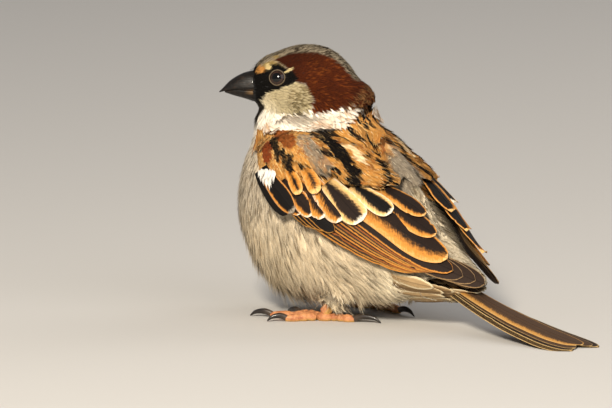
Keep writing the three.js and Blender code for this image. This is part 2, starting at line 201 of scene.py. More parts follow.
# the plain mesh that an object's modifiers leave
def settled(obj, name):
    graph = bpy.context.evaluated_depsgraph_get()
    mesh = bpy.data.meshes.new_from_object(obj.evaluated_get(graph), preserve_all_data_layers=True, depsgraph=graph)
    source = obj.data
    bpy.data.objects.remove(obj)
    bpy.data.meshes.remove(source)
    mesh.name = name
    return linked(name, mesh)


def dress(piece, slot, *nodes):
    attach(piece, "root")
    if nodes:
        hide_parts(*nodes)
    return piece


# node trees

class Number:
    # a socket that adds a Math node wherever it is used in an expression
    def __init__(self, graph, socket):
        self.graph = graph
        self.socket = socket

    def __add__(self, other):
        return self.graph.math("ADD", self, other)

    def __sub__(self, other):
        return self.graph.math("SUBTRACT", self, other)

    def __rsub__(self, other):
        return self.graph.math("SUBTRACT", other, self)

    def __mul__(self, other):
        return self.graph.math("MULTIPLY", self, other)

    def __truediv__(self, other):
        return self.graph.math("DIVIDE", self, other)

    def __pow__(self, other):
        return self.graph.math("POWER", self, other)

    __radd__ = __add__
    __rmul__ = __mul__


class Graph:
    def __init__(self, tree):
        self.tree = tree

    # a node by its type: its settings come first, then the values or links of its sockets
    def node(self, kind, settings=None, sockets=None, out=0):
        made = self.tree.nodes.new(kind)
        for key, value in (settings or {}).items():
            setattr(made, key, value)
        for key, value in (sockets or {}).items():
            self.feed(made.inputs[key], value)
        return Number(self, made.outputs[out])

    def feed(self, socket, value):
        if isinstance(value, Number):
            self.tree.links.new(value.socket, socket)
        else:
            socket.default_value = value

    def math(self, operation, a, b=0.0):
        return self.node("ShaderNodeMath", {"operation": operation}, {0: a, 1: b})

    def least(self, a, b):
        return self.math("MINIMUM", a, b)

    def most(self, a, b):
        return self.math("MAXIMUM", a, b)

    def size(self, a):
        return self.math("ABSOLUTE", a)

    # 0 below low, 1 above high, smooth between
    def step(self, value, low, high):
        settings = {"interpolation_type": "SMOOTHSTEP"}
        return self.node("ShaderNodeMapRange", settings, {"Value": value, "From Min": low, "From Max": high})

    def parts(self, vector):
        split = self.tree.nodes.new("ShaderNodeSeparateXYZ")
        self.feed(split.inputs[0], vector)
        return [Number(self, one) for one in split.outputs]

    def vector(self, x, y, z):
        return self.node("ShaderNodeCombineXYZ", None, {0: x, 1: y, 2: z})

    def blend(self, factor, a, b):
        settings = {"data_type": "RGBA", "clamp_factor": True}
        return self.node("ShaderNodeMix", settings, {0: factor, 6: a, 7: b}, 2)

    def vectorMath(self, operation, a, b, second=1, out=0):
        return self.node("ShaderNodeVectorMath", {"operation": operation}, {0: a, second: b}, out)

    def shade(self, tint, value):
        return self.vectorMath("MULTIPLY", tint, self.vector(value, value, value))

    def noise(self, vector, scale, detail=2.0):
        return self.node("ShaderNodeTexNoise", None, {"Vector": vector, "Scale": scale, "Detail": detail})

    def stored(self, name):
        return self.node("ShaderNodeAttribute", {"attribute_name": name}, None, "Vector")

    def place(self):
        return self.node("ShaderNodeTexCoord", None, None, "Object")


class Finish(Graph):
    def __init__(self, name, roughness, coat=0.0):
        self.material = bpy.data.materials.new(name)
        self.material.use_nodes = True
        super().__init__(self.material.node_tree)
        self.surface = self.tree.nodes["Principled BSDF"]
        self.set(Roughness=roughness)
        if coat:
            self.set(**{"Coat Weight": coat, "Coat Roughness": 0.03})

    def set(self, **values):
        for key, value in values.items():
            self.feed(self.surface.inputs[key.replace("_", " ")], value)

    def bump(self, height, strength, distance):
        sockets = {"Strength": strength, "Distance": distance, "Height": height}
        self.set(Normal=self.node("ShaderNodeBump", None, sockets))


def opaque(code):
    return (*colour(code), 1.0)


# plumage finishes: every feather carries its own colours and the widths of its borders

def plumageFinish(name, values):
    made = Finish(name, values["roughness"])
    made.set(Specular_IOR_Level=values["gloss"])
    along, across, _ = made.parts(made.stored("vane"))
    half, length, seed = made.parts(made.stored("girth"))
    outer, inner, tip = made.parts(made.stored("borders"))
    wander = made.noise(made.vector(along * length * 0.9, across * half * 1.6, seed), 1.0)
    fromOuter = (1 - across) * half
    fromInner = (1 + across) * half
    fromTip = (1 - along) * length
    slant = along * length - made.size(across) * half * values["slant"]
    barbs = made.noise(made.vector(slant * values["barbs"], across * half * 0.4, seed + 3), 1.0, 2.0)
    unevenness = (wander - 0.5) * values["ragged"] + (barbs - 0.5) * values["barbed"]
    border = made.least(fromOuter / outer, fromInner / inner) + unevenness
    edge = 1 - made.step(border, values["edgeFrom"], values["edgeTo"])
    fringe = 1 - made.step(border, 0.05, 0.5)
    end = made.most(1 - made.step(fromTip / tip + unevenness, 0.5, 1.3), fringe * values["fringe"])
    tint = made.blend(edge, made.stored("centreTint"), made.stored("edgeTint"))
    tint = made.blend(end, tint, made.stored("tipTint"))
    strands = made.vector(across * half * values["acrossGrain"], slant * values["alongGrain"], seed)
    fine = made.noise(strands, 1.0, 3.0)
    coarse = made.noise(made.vector(across * half * 0.9, along * length * 0.35, seed + 7), 1.0)
    grain = (fine - 0.5) * values["grain"] + (coarse - 0.5) * values["patches"] + 1
    # painted shade: each feather is darkened towards its root, where the feathers lying over it would shade it
    rootShade = made.step(along, -0.1, 0.55) * (1 - values["paintedRootShade"]) + values["paintedRootShade"]
    shaft = 1 - made.step(made.size(across) * half, 0.05, values["shaftWidth"])
    shade = grain * rootShade * (1 - shaft * values["shaft"])
    made.set(Base_Color=made.shade(tint, shade))
    made.bump(fine + shaft * values["shaftRise"], values["bump"], 0.0003)
    return made.material


softValues = {"roughness": 0.9, "gloss": 0.12, "ragged": 0.5, "slant": 0.2, "acrossGrain": 7.0, "alongGrain": 0.8,
              "grain": 0.6, "patches": 0.25, "paintedRootShade": 0.7, "shaftWidth": 0.1, "shaft": 0.0, "shaftRise": 0.0,
              "bump": 0.25, "barbs": 1.0, "barbed": 0.0, "fringe": 0.0, "edgeFrom": 0.45, "edgeTo": 1.3}
quillValues = {"roughness": 0.68, "gloss": 0.16, "ragged": 0.9, "slant": 0.8, "acrossGrain": 1.2, "alongGrain": 3.0,
               "grain": 0.45, "patches": 0.3, "paintedRootShade": 0.7, "shaftWidth": 0.22, "shaft": 0.35, "shaftRise": 1.0,
               "bump": 0.3, "barbs": 5.0, "barbed": 1.2, "fringe": 0.55, "edgeFrom": 0.55, "edgeTo": 1.5}
softPlumage = plumageFinish("softPlumage", softValues)
quillPlumage = plumageFinish("quillPlumage", quillValues)


# the folded wing: a point for each share s along it and t up it, and back

def blend(table, t):
    last = len(table) - 1
    at = np.clip(t, 0, 1) * last
    i = np.minimum(np.floor(at).astype(int), last - 1)
    u = (at - i)[..., None]
    a, b, c, d = (table[np.clip(i + n, 0, last)] for n in (-1, 0, 1, 2))
    slopeB, slopeC, rise = (c - a) / 2, (d - b) / 2, c - b
    return b + slopeB * u + (3 * rise - 2 * slopeB - slopeC) * u ** 2 + (slopeB + slopeC - 2 * rise) * u ** 3


# the folded wing's lower edge, upper edge and bulge, from its bend to its tip; the left wing
wingLine = np.array([
    (-19.0, -17.0, 43.0, -15.0, -13.4, 48.0, 0.4),
    (-14.5, -21.0, 35.5, -4.6, -11.0, 47.8, 2.0),
    (-2.0, -21.8, 28.0, 6.2, -4.2, 44.2, 4.4),
    (14.0, -19.3, 20.8, 17.8, -3.8, 35.2, 3.2),
    (31.0, -11.2, 14.2, 29.8, -3.8, 24.0, 1.0),
    (45.0, -3.2, 11.0, 45.2, -1.6, 14.0, 0.1),
])


def wingPoint(s, t):
    s, t = np.broadcast_arrays(np.asarray(s, float), np.asarray(t, float))
    at, before, after = blend(wingLine, s), blend(wingLine, s - 0.01), blend(wingLine, s + 0.01)
    low, high = at[..., 0:3], at[..., 3:6]
    along = (after - before)[..., 0:3] + (after - before)[..., 3:6]
    outward = unit(np.cross(along, high - low))
    return low + (high - low) * t[..., None] + outward * (4 * at[..., 6] * t * (1 - t))[..., None]


def onWing(side):
    def place(s, t, height):
        step = 0.005
        s, t, height = np.broadcast_arrays(*(np.asarray(x, float) for x in (s, t, height)))
        within = np.clip(s, step, 1 - step)
        along = wingPoint(within + step, t) - wingPoint(within - step, t)
        normal = unit(np.cross(along, wingPoint(s, t + step) - wingPoint(s, t - step)))
        past = np.maximum(s - 1, 0)[..., None] / (2 * step)
        point = wingPoint(np.minimum(s, 1), t) + along * past + normal * height[..., None]
        mirror = np.array([1, side, 1])
        return point * mirror, normal * mirror
    return place


def wingGrid():
    tree = KDTree(61 * 31)
    spots = [(i / 60 * 0.75, j / 30 * 1.1) for i in range(61) for j in range(31)]
    grid = np.array(spots)
    for n, p in enumerate(wingPoint(grid[:, 0], grid[:, 1])):
        tree.insert(p, n)
    tree.balance()
    return tree, grid


wingTree, wingSpots = wingGrid()


# the nearest [s, t] of the folded wing to each point, and how far off it is
def onWingAt(p):
    near = [wingTree.find((q[0], -abs(q[1]), q[2])) for q in p]
    spots = wingSpots[[n[1] for n in near]]
    return spots[:, 0], spots[:, 1], np.array([n[2] for n in near])


# skin: one smooth form over the flesh, drawn in by the depth of the coat

skinValues = {"swell": 0.25, "voxel": 0.7, "smoothing": 6}
flesh = ["head", "neck", "trunk", "thigh_left", "thigh_right", "wing_left_arm", "wing_right_arm"]
filled = ["eye_left", "eye_right", "bill_upper", "bill_lower"]


def joinedForm(name, nodes, swell, voxel, smoothing):
    form = bmesh.new()
    for node in nodes:
        part = bmesh.new()
        part.from_mesh(frame["nodes"][node].data)
        bmesh.ops.remove_doubles(part, verts=part.verts, dist=1e-6)
        part.normal_update()
        for vertex in part.verts:
            vertex.co += vertex.normal * swell * mm
        mesh = bpy.data.meshes.new("part")
        part.to_mesh(mesh)
        part.free()
        form.from_mesh(mesh)
        bpy.data.meshes.remove(mesh)
    mesh = bpy.data.meshes.new(name)
    form.to_mesh(mesh)
    form.free()
    made = linked(name, mesh)
    remesh = made.modifiers.new("remesh", "REMESH")
    remesh.mode = "VOXEL"
    remesh.voxel_size = voxel * mm
    relax = made.modifiers.new("relax", "SMOOTH")
    relax.factor = 0.5
    relax.iterations = smoothing
    return settled(made, name)


def drawIn(form, depthAt):
    places = toDrawing(vertexPlaces(form.data))
    places -= vertexNormals(form.data) * depthAt(places)[:, None]
    form.data.vertices.foreach_set("co", toModel(places).astype(np.float32).ravel())
    form.data.update()
    form.data.shade_smooth()


def coatDepth(p):
    ahead, _, up = ofHead(p)
    head = smooth(up + 0.3 * ahead, -12, -2)
    return mix(2.0, mix(0.9, 0.5, smooth(ahead, 8, 12)), head)


skin = joinedForm("skin", flesh + filled, **skinValues)
drawIn(skin, coatDepth)


def unwrap(obj):
    bpy.context.view_layer.objects.active = obj
    for other in bpy.context.selected_objects:
        other.select_set(False)
    obj.select_set(True)
    obj.data.uv_layers.new(name="OFBake")
    bpy.ops.object.mode_set(mode="EDIT")
    bpy.ops.mesh.select_all(action="SELECT")
    bpy.ops.uv.smart_project(angle_limit=math.radians(70), island_margin=0.002)
    bpy.ops.object.mode_set(mode="OBJECT")


unwrap(skin)
print("skin:", len(skin.data.polygons), "faces")


# roots spread over a form, as far apart as spacing(p) says; keep(p, normal) says where

def formTriangles(form):
    mesh = form.data
    mesh.calc_loop_triangles()
    corners, loops = (fetched(mesh.loop_triangles, key, 3, int) for key in ("vertices", "loops"))
    uvs = fetched(mesh.uv_layers["OFBake"].uv, "vector", 2)
    return toDrawing(vertexPlaces(mesh))[corners], vertexNormals(mesh)[corners], uvs[loops]


def spreadRoots(form, spacing, keep, seed, crowd=5):
    rng = np.random.default_rng(seed)
    places, normals, uvs = formTriangles(form)
    middle = places.mean(1)
    wanted = keep(middle, unit(normals.mean(1)))
    places, normals, uvs, middle = places[wanted], normals[wanted], uvs[wanted], middle[wanted]
    area = np.linalg.norm(np.cross(places[:, 1] - places[:, 0], places[:, 2] - places[:, 0]), axis=1) / 2
    share = area / spacing(middle) ** 2
    count = int(share.sum() * crowd)
    pick = rng.choice(len(share), count, p=share / share.sum())
    a, b = rng.random((2, count, 1))
    a, b = np.where(a + b > 1, 1 - a, a), np.where(a + b > 1, 1 - b, b)
    def weigh(x):
        return x[pick, 0] * (1 - a - b) + x[pick, 1] * a + x[pick, 2] * b
    roots, ups, spots = weigh(places), unit(weigh(normals)), weigh(uvs)
    apart = spacing(roots)
    cell = apart.max()
    taken = {}
    chosen = []
    keys = np.floor(roots / cell).astype(int)
    around = [(i, j, k) for i in (-1, 0, 1) for j in (-1, 0, 1) for k in (-1, 0, 1)]
    rootList, apartList, keyList = roots.tolist(), apart.tolist(), keys.tolist()
    for n in range(count):
        x, y, z = rootList[n]
        i, j, k = keyList[n]
        limit = apartList[n] ** 2
        clear = True
        for di, dj, dk in around:
            for u, v, w in taken.get((i + di, j + dj, k + dk), ()):
                if (u - x) ** 2 + (v - y) ** 2 + (w - z) ** 2 < limit:
                    clear = False
                    break
            if not clear:
                break
        if clear:
            taken.setdefault((i, j, k), []).append((x, y, z))
            chosen.append(n)
    return roots[chosen], ups[chosen], spots[chosen], rng


# the coat's length, spacing and lie, from stations over the body
coatStations = {
    # place, spacing, length, width, lift, looseness of the tips, lie
    "billBase": (inHead(12.5, 3.0, 0), 0.45, 1.5, 0.5, 0.35, 0, (0, 0, 0)),
    "lores": (inHead(10.5, 6.0, 1), 0.52, 1.7, 0.65, 0.4, 0, (0, 0, 0)),
    "crown": (inHead(2.0, 3.0, 9), 0.62, 2.8, 0.95, 0.6, 0.05, (0, 0, 0)),
    "cheek": (inHead(3.0, 8.5, -4), 0.55, 2.4, 0.7, 0.55, 0.1, (0, 0, 0)),
    "brow": (inHead(5.0, 7.5, 4.2), 0.42, 1.5, 0.5, 0.35, 0, (0, 0, 0)),
    "side": (inHead(-5.0, 8.5, 2), 0.62, 2.9, 0.9, 0.55, 0.08, (0, 0, 0)),
    "nape": (inHead(-12.0, 4.0, -1), 0.62, 3.6, 1.0, 0.8, 0.15, (0, 0, 0)),
    "chin": (inHead(9.0, 2.0, -8), 0.65, 3.0, 0.85, 0.7, 0.25, (0.1, 0, -1)),
    "collar": (inHead(0.0, 10.0, -11), 0.66, 5.0, 1.0, 1.5, 0.85, (0.55, 0, -0.8)),
    "breastTop": ((-29, 0, 45), 0.78, 6.0, 1.3, 1.1, 0.2, (0.1, 0, -1)),
    "breast": ((-33, 0, 32), 0.88, 8, 1.5, 1.5, 0.3, (0.25, 0, -1)),
    "breastSide": ((-22, 18, 35), 0.85, 7.5, 1.5, 1.4, 0.3, (0.45, 0, -1)),
    "belly": ((-18, 0, 10), 0.95, 10, 1.6, 2.2, 0.55, (0.6, 0, -0.8)),
    "bellySide": ((-12, 18, 14), 0.9, 9, 1.6, 2.0, 0.55, (0.5, 0, -0.95)),
    "flank": ((8, 19, 18), 0.92, 9.5, 1.7, 1.7, 0.35, (0.8, 0, -0.6)),
    "underside": ((5, 0, 4), 1.3, 10, 2.2, 1.5, 0.2, (1, 0, -0.2)),
    "vent": ((24, 0, 7), 1.0, 7, 1.7, 1.2, 0.3, (1, 0, 0.35)),
    "tailUnder": ((36, 0, 9), 1.0, 6, 1.6, 0.8, 0.3, (1, 0, 0.1)),
    "rump": ((24, 0, 30), 0.95, 6.5, 1.6, 2.2, 0.2, (0.8, 0, -0.6)),
    "tailOver": ((36, 0, 19), 1.0, 5, 1.7, 0.8, 0.1, (1, 0, -0.4)),
    "thigh": ((4, 12, 6), 0.75, 8.0, 1.3, 1.4, 0.95, (0.1, 0, -1)),
    "skirt": ((-1, 16, 8), 0.75, 10.5, 1.5, 2.4, 1.0, (0.3, 0, -1)),
    "shag": ((-20, 13, 12), 0.85, 12, 1.4, 3.2, 1.0, (0.25, 0, -1)),
    "mantle": ((-2, 0, 50), 0.95, 4.6, 1.3, 1.1, 0.15, (0.75, 0, -0.65)),
}
stationPlaces = np.array([row[0] for row in coatStations.values()], float)
# how fine the coat is: shares of the stations' spacing, length, width, lift and looseness
coatFineness = (0.64, 0.95, 0.72, 0.95, 1.0)
stationValues = np.array([row[1:6] for row in coatStations.values()], float) * coatFineness
stationLies = np.array([row[6] for row in coatStations.values()], float)
# where the lie is (0, 0, 0), feathers point away from the bill
fromBillStations = [n for n, lie in enumerate(stationLies) if not lie.any()]
headStations = fromBillStations + [list(coatStations).index(name) for name in ("chin", "collar")]
billRoot = inHead(14.0, 0, -1.5)


# stations on the head count on both its sides alike, and so do those on the body
def stationWeights(p):
    ahead, sideways, up = ofHead(p)
    headPart = np.stack([ahead, np.abs(sideways), up], -1)
    bodyPart = np.stack([p[:, 0], np.abs(p[:, 1]), p[:, 2]], -1)
    weights = []
    for n, place in enumerate(stationPlaces):
        if n in headStations:
            a, s, u = ofHead(place)
            away = np.linalg.norm(headPart - np.array([a, abs(s), u]), axis=1)
        else:
            away = np.linalg.norm(bodyPart - place, axis=1)
        weights.append(1 / (away + 1.0) ** 4)
    weights = np.array(weights).T
    return weights / weights.sum(1, keepdims=True)


def coatAt(p):
    return stationWeights(p) @ stationValues


def lieAt(p, normal):
    weights = stationWeights(p)
    guide = weights @ stationLies
    guide = guide + unit(p - billRoot) * weights[:, fromBillStations].sum(1, keepdims=True)
    return flatOn(guide, normal)


# feather templates: a fan of narrow barbs, one long and one wide before they are scaled

def tuftTemplate(name, barbs, steps, pointed, gapFrom, seed, crown=0.22):
    rng = np.random.default_rng(seed)
    points, faces, vane = [], [], []
    middles = np.linspace(-1, 1, barbs) * (1 - 1 / barbs)
    for m in middles:
        reach = (1 - pointed * abs(m) ** 1.8) * rng.uniform(0.86, 1.0)
        lean = rng.uniform(-0.06, 0.06)
        rise = rng.uniform(0, 0.05)
        start = len(points)
        shares = np.linspace(0, 1, steps + 1)
        for k, f in enumerate(shares):
            broad = 0.3 + 0.7 * math.sin(min(f / 0.6, 1) * math.pi / 2)
            taper = 1 if f < gapFrom else max(0, 1 - ((f - gapFrom) / (1 - gapFrom)) ** 1.3)
            middle = m * broad + lean * f * f
            half = (1.25 / barbs) * broad * taper
            sides = (middle - half, middle + half) if k < steps else (middle,)
            for across in sides:
                points.append((f * reach, across / 2, 0))
                vane.append((f * reach, across, rise * f - crown * across * across))
        for k in range(steps - 1):
            a = start + 2 * k
            faces.append((a, a + 2, a + 3, a + 1))
        faces.append((start + 2 * steps - 2, start + 2 * steps, start + 2 * steps - 1))
    mesh = bpy.data.meshes.new(name)
    mesh.from_pydata(points, [], faces)
    mesh.shade_smooth()
    pointValues(mesh, "vane", vane)
    return bpy.data.objects.new(name, mesh)


def templateSet(name, count, **shape):
    kept = bpy.data.collections.new(name)
    for n in range(count):
        kept.objects.link(tuftTemplate(f"{name}{n}", seed=n, **shape))
    return kept


templates = {
    "down": templateSet("down", 3, barbs=5, steps=3, pointed=0.35, gapFrom=0.55),
    "tuft": templateSet("tuft", 5, barbs=8, steps=3, pointed=0.4, gapFrom=0.5),
    "scapular": templateSet("scapular", 4, barbs=7, steps=4, pointed=0.5, gapFrom=0.62, crown=0.25),
    "bristle": templateSet("bristle", 1, barbs=1, steps=5, pointed=0, gapFrom=0.1, crown=0.0),
}


# Geometry Nodes: one template on each root, realized, then laid on the form at its own height

layValues = {
    "groundClearance": 0.0002,
    "riseCurve": 1.4,  # how late along a feather it rises to its tip
    "jumpFrom": 1.4, "jumpScale": 600,  # a barb that would jump further than their ratio, in metres, is left free
    "mostTorn": 0.13,  # a feather's largest face, as a share of its length by its width
    "atlasPatch": 0.003,  # the side of a feather's patch in the atlas
}


def layingTree():
    tree = bpy.data.node_groups.new("layFeathers", "GeometryNodeTree")
    graph = Graph(tree)
    for name, kind in (("Geometry", "Geometry"), ("Form", "Object"), ("Templates", "Collection"),
                       ("Finish", "Material"), ("Ground clearance", "Float")):
        socket = tree.interface.new_socket(name, in_out="INPUT", socket_type="NodeSocket" + kind)
    socket.default_value = layValues["groundClearance"]
    tree.interface.new_socket("Geometry", in_out="OUTPUT", socket_type="NodeSocketGeometry")
    given = tree.nodes.new("NodeGroupInput")
    start, form, kinds, finish, clearance = [Number(graph, given.outputs[n]) for n in range(5)]

    def named(name, kind="FLOAT_VECTOR"):
        return graph.node("GeometryNodeInputNamedAttribute", {"data_type": kind}, {"Name": name}, "Attribute")

    picks = graph.node("GeometryNodeCollectionInfo", None,
                       {"Collection": kinds, "Separate Children": True, "Reset Children": True})
    turned = graph.node("FunctionNodeEulerToRotation", None, {0: named("turn")})
    placed = graph.node("GeometryNodeInstanceOnPoints", None,
                        {"Points": start, "Instance": picks, "Pick Instance": True,
                         "Instance Index": named("kind", "INT"), "Rotation": turned, "Scale": named("size")})
    real = graph.node("GeometryNodeRealizeInstances", None, {"Geometry": placed})
    surface = graph.node("GeometryNodeObjectInfo", None, {"Object": form}, "Geometry")
    place = graph.node("GeometryNodeInputPosition")

    def nearest(value):
        return graph.node("GeometryNodeSampleNearestSurface", {"data_type": "FLOAT_VECTOR"},
                          {"Mesh": surface, "Value": value, "Sample Position": place}, "Value")

    near, facing = nearest(place), nearest(graph.node("GeometryNodeInputNormal"))
    along, _, crown = graph.parts(named("vane"))
    rootRise, tipRise, crownRise = graph.parts(named("lift"))
    height = rootRise + (tipRise - rootRise) * along ** layValues["riseCurve"] + crown * crownRise
    raised = graph.vectorMath("SCALE", facing, height, "Scale")
    laid = graph.vectorMath("ADD", near, raised)
    looseness = graph.parts(named("loose"))[0] * along ** 2
    apart = graph.vectorMath("SUBTRACT", graph.vectorMath("ADD", place, raised), laid)
    jump = graph.node("ShaderNodeVectorMath", {"operation": "LENGTH"}, {0: apart}, "Value")
    beyond = graph.least(graph.most(jump * layValues["jumpScale"] - layValues["jumpFrom"], 0.0), 1.0)
    pulled = graph.vectorMath("SCALE", apart, graph.most(looseness, beyond), "Scale")
    x, y, z = graph.parts(graph.vectorMath("ADD", laid, pulled))
    above = graph.vector(x, y, graph.most(z, clearance))
    moved = graph.node("GeometryNodeSetPosition", None, {"Geometry": real, "Position": above})
    dressed = graph.node("GeometryNodeSetMaterial", None, {"Geometry": moved, "Material": finish})
    end = tree.nodes.new("NodeGroupOutput")
    graph.feed(end.inputs[0], dressed)
    return tree


layFeathers = layingTree()


# Euler angles that turn X to the lie and Z to the surface's normal
def turnsOf(lie, normal):
    side = np.cross(normal, lie)
    pitch = -np.arcsin(np.clip(lie[:, 2], -1, 1))
    yaw = np.arctan2(lie[:, 1], lie[:, 0])
    roll = np.arctan2(side[:, 2], normal[:, 2])
    return np.stack([roll, pitch, yaw], -1)


# what layCoat is told of each feather; a single value holds for them all
def feathersOf(spread, lie, length, width, lift, loose, tints, borders):
    root, normal, uv = spread
    count = len(root)

    def each(value):
        return np.broadcast_to(np.asarray(value, float), count)
    centre, edge, tip = tints
    return {"root": root, "normal": normal, "uv": uv, "lie": lie, "length": length, "width": each(width),
            "lift": np.stack([each(value) for value in lift], -1), "loose": each(loose),
            "centreTint": centre, "edgeTint": edge, "tipTint": tip, "borders": np.tile(borders, (count, 1))}


def layCoat(name, form, kind, feathers, slot, *nodes):
    mesh = bpy.data.meshes.new(name + "Roots")
    mesh.from_pydata(toModel(feathers["root"]).tolist(), [], [])
    count = len(mesh.vertices)
    rng = np.random.default_rng(count)
    length, width = feathers["length"], feathers["width"]
    given = {
        "turn": turnsOf(feathers["lie"], feathers["normal"]),
        "size": np.stack([length, width, width], -1) * mm,
        "lift": feathers["lift"] * mm,
        "loose": np.repeat(feathers["loose"][:, None], 3, 1),
        "girth": np.stack([width / 2, length, rng.uniform(0, 99, count)], -1),
        "spot": np.concatenate([feathers["uv"], np.zeros((count, 1))], -1),
    }
    for key in ("borders", "centreTint", "edgeTint", "tipTint"):
        given[key] = feathers[key]
    for key, values in given.items():
        pointValues(mesh, key, values)
    picked = mesh.attributes.new("kind", "INT", "POINT")
    picked.data.foreach_set("value", rng.integers(0, len(templates[kind].objects), count).astype(np.int32))
    roots = linked(name + "Roots", mesh)
    laying = roots.modifiers.new("lay", "NODES")
    laying.node_group = layFeathers
    sockets = [item.identifier for item in layFeathers.interface.items_tree if item.in_out == "INPUT"]
    for socket, value in zip(sockets[1:4], (form, templates[kind], softPlumage)):
        laying[socket] = value
    piece = settled(roots, name)
    dropTorn(piece.data)
    storeAtlas(piece.data)
    triangles = sum(len(face.vertices) - 2 for face in piece.data.polygons)
    print(name, len(piece.data.vertices), "points,", triangles, "triangles")
    return dress(piece, slot, *nodes)


# a feather that the form pulls out of shape, as in a fold, is left out
def dropTorn(mesh):
    mesh.calc_loop_triangles()
    place, size = vertexPlaces(mesh), vectorsOf(mesh, "size")
    feather = np.unique(vectorsOf(mesh, "spot"), axis=0, return_inverse=True)[1].ravel()
    a, b, c = fetched(mesh.loop_triangles, "vertices", 3, np.int32).T
    area = np.linalg.norm(np.cross(place[b] - place[a], place[c] - place[a]), axis=1) / 2
    share = area / (size[a, 0] * size[a, 1])
    torn = np.zeros(feather.max() + 1, bool)
    torn[feather[a[share > layValues["mostTorn"]]]] = True

    def dropped(shell):
        bmesh.ops.delete(shell, geom=[v for v, gone in zip(shell.verts, torn[feather]) if gone], context="VERTS")
    reshape(mesh, dropped)


# each feather's patch lies at its root's place on the form's own unwrap
def storeAtlas(mesh):
    spot, vane = vectorsOf(mesh, "spot")[:, :2], vectorsOf(mesh, "vane")[:, :2]
    local = np.stack([vane[:, 0] - 0.5, vane[:, 1] / 2], -1) * layValues["atlasPatch"]
    corner = fetched(mesh.loops, "vertex_index", 1, np.int32).ravel()
    atlas = mesh.uv_layers.new(name="OFBake")
    atlas.uv.foreach_set("vector", np.clip(spot + local, 0.0005, 0.9995)[corner].astype(np.float32).ravel())
    for used in ("spot", "turn", "size", "lift", "loose", "kind"):
        if used in mesh.attributes:
            mesh.attributes.remove(mesh.attributes[used])


# markings: outlines in the head's own profile (ahead, up), and streaks along lines over the body

def fromLine(p, line):
    nearest = np.full(len(p), 1e9)
    for a, b in zip(line[:-1], line[1:]):
        along = np.clip((p - a) @ (b - a) / ((b - a) @ (b - a)), 0, 1)
        nearest = np.minimum(nearest, np.linalg.norm(p - a - along[:, None] * (b - a), axis=1))
    return nearest


def inside(x, y, outline, soft):
    corners = np.array(outline, float)
    nearest = fromLine(np.stack([x, y], -1), np.concatenate([corners, corners[:1]]))
    odd = np.zeros(len(x), bool)
    for a, b in zip(corners, np.roll(corners, -1, 0)):
        crosses = (a[1] > y) != (b[1] > y)
        odd ^= crosses & (x < a[0] + (y - a[1]) * (b[0] - a[0]) / np.where(crosses, b[1] - a[1], 1))
    return smooth(np.where(odd, nearest, -nearest), -soft, soft)


def oval(x, y, middle, reach, soft=0.3):
    away = np.sqrt(((x - middle[0]) / reach[0]) ** 2 + ((y - middle[1]) / reach[1]) ** 2)
    return 1 - smooth(away, 1 - soft, 1 + soft)


# how near p is to a line through places, both sides of the body alike; 1 on it, 0 outside
def streak(p, line, width, soft=0.35):
    return 1 - smooth(fromLine(mirrored(p), np.array(line, float)), width / 2 - soft, width / 2 + soft)


# the tints of many feathers, at their middles and at their edges, laid one over another
class Dyes:
    def __init__(self, count, tints, centre, edge):
        self.tints = tints
        self.centre = np.tile(tints[centre], (count, 1))
        self.edge = np.tile(tints[edge], (count, 1))

    def lay(self, mask, centre, edge, centreShare=1.0, edgeShare=1.0):
        if centre:
            self.centre = self.centre + (self.tints[centre] - self.centre) * (mask * centreShare)[:, None]
        if edge:
            self.edge = self.edge + (self.tints[edge] - self.edge) * (mask * edgeShare)[:, None]

    def shaded(self, spread):
        return self.centre * spread, self.edge * spread


# a brightness that varies from place to place and from feather to feather
def uneven(p, rng, size, seed, patches, single):
    return mottle(p, size, seed)[:, None] * patches + rng.normal(0, single, (len(p), 1)) + 1


headTints = tinted({
    "chestnut": "341305", "chestnutEdge": "4d2008", "chestnutDark": "1d0d07", "chestnutPale": "693410",
    "crown": "938670", "crownDark": "352b20", "black": "0b0907", "cheek": "b9aa86", "cheekPale": "dccfb0",
    "ear": "8f7f5c", "earDark": "2e2617", "collar": "fdf4e4", "nape": "2a1d13", "napeEdge": "7d5632",
    "lore": "bd8544", "cream": "c9b27c", "olive": "8d7748", "brow": "c9b684", "bibEdge": "2e2720",
})
headOutlines = {
    "mask": [(16, 3.6), (13.6, 4.4), (11.0, 4.0), (9.6, 4.9), (7.4, 5.1), (5.6, 4.2), (3.6, 3.3), (2.2, 1.6),
             (3.4, 0.6), (5.3, -0.4), (7.8, -1.4), (10.6, -2.4), (11.6, -4.2), (12.4, -6.2), (13.0, -8.0),
             (16, -8.0)],
    "cheek": [(12.9, -2.2), (10.4, -1.8), (7.6, -0.8), (5.0, 0.2), (3.1, 1.0), (1.2, 0.3), (-0.9, -1.2),
              (-1.6, -4.2), (-0.6, -6.7), (2.5, -7.7), (8.0, -7.8), (14.0, -7.6), (14.0, -4.0)],
    "chestnut": [(8.9, 6.0), (8.2, 7.4), (4.6, 8.9), (0.5, 9.6), (-5.0, 8.6), (-9.5, 5.6), (-14.5, 0.6),
                 (-17.5, -4.4), (-15.5, -7.2), (-12.2, -5.2), (-7.0, -6.2), (-1.3, -7.2), (-1.6, -3.4),
                 (0.6, 0.2), (3.2, 0.9), (4.0, 3.1), (5.8, 4.6), (7.5, 5.5)],
}
# the collar's lower border and the crown's half width by the place ahead, and the nape's border by the height
headBorders = {
    "collarLow": ([-20, -12.5, -9.6, -5.7, 4, 12, 15], [-6.5, -7.5, -9.3, -11.2, -11.6, -11.6, -13.5]),
    "crownHalf": ([-15, -10, 0, 7, 12], [4.4, 4.6, 4.7, 3.9, 3.2]),
    "nape": ([-8, -5.3, -2.5, 0.6, 3], [-9.0, -9.6, -13, -16.4, -19]),
}
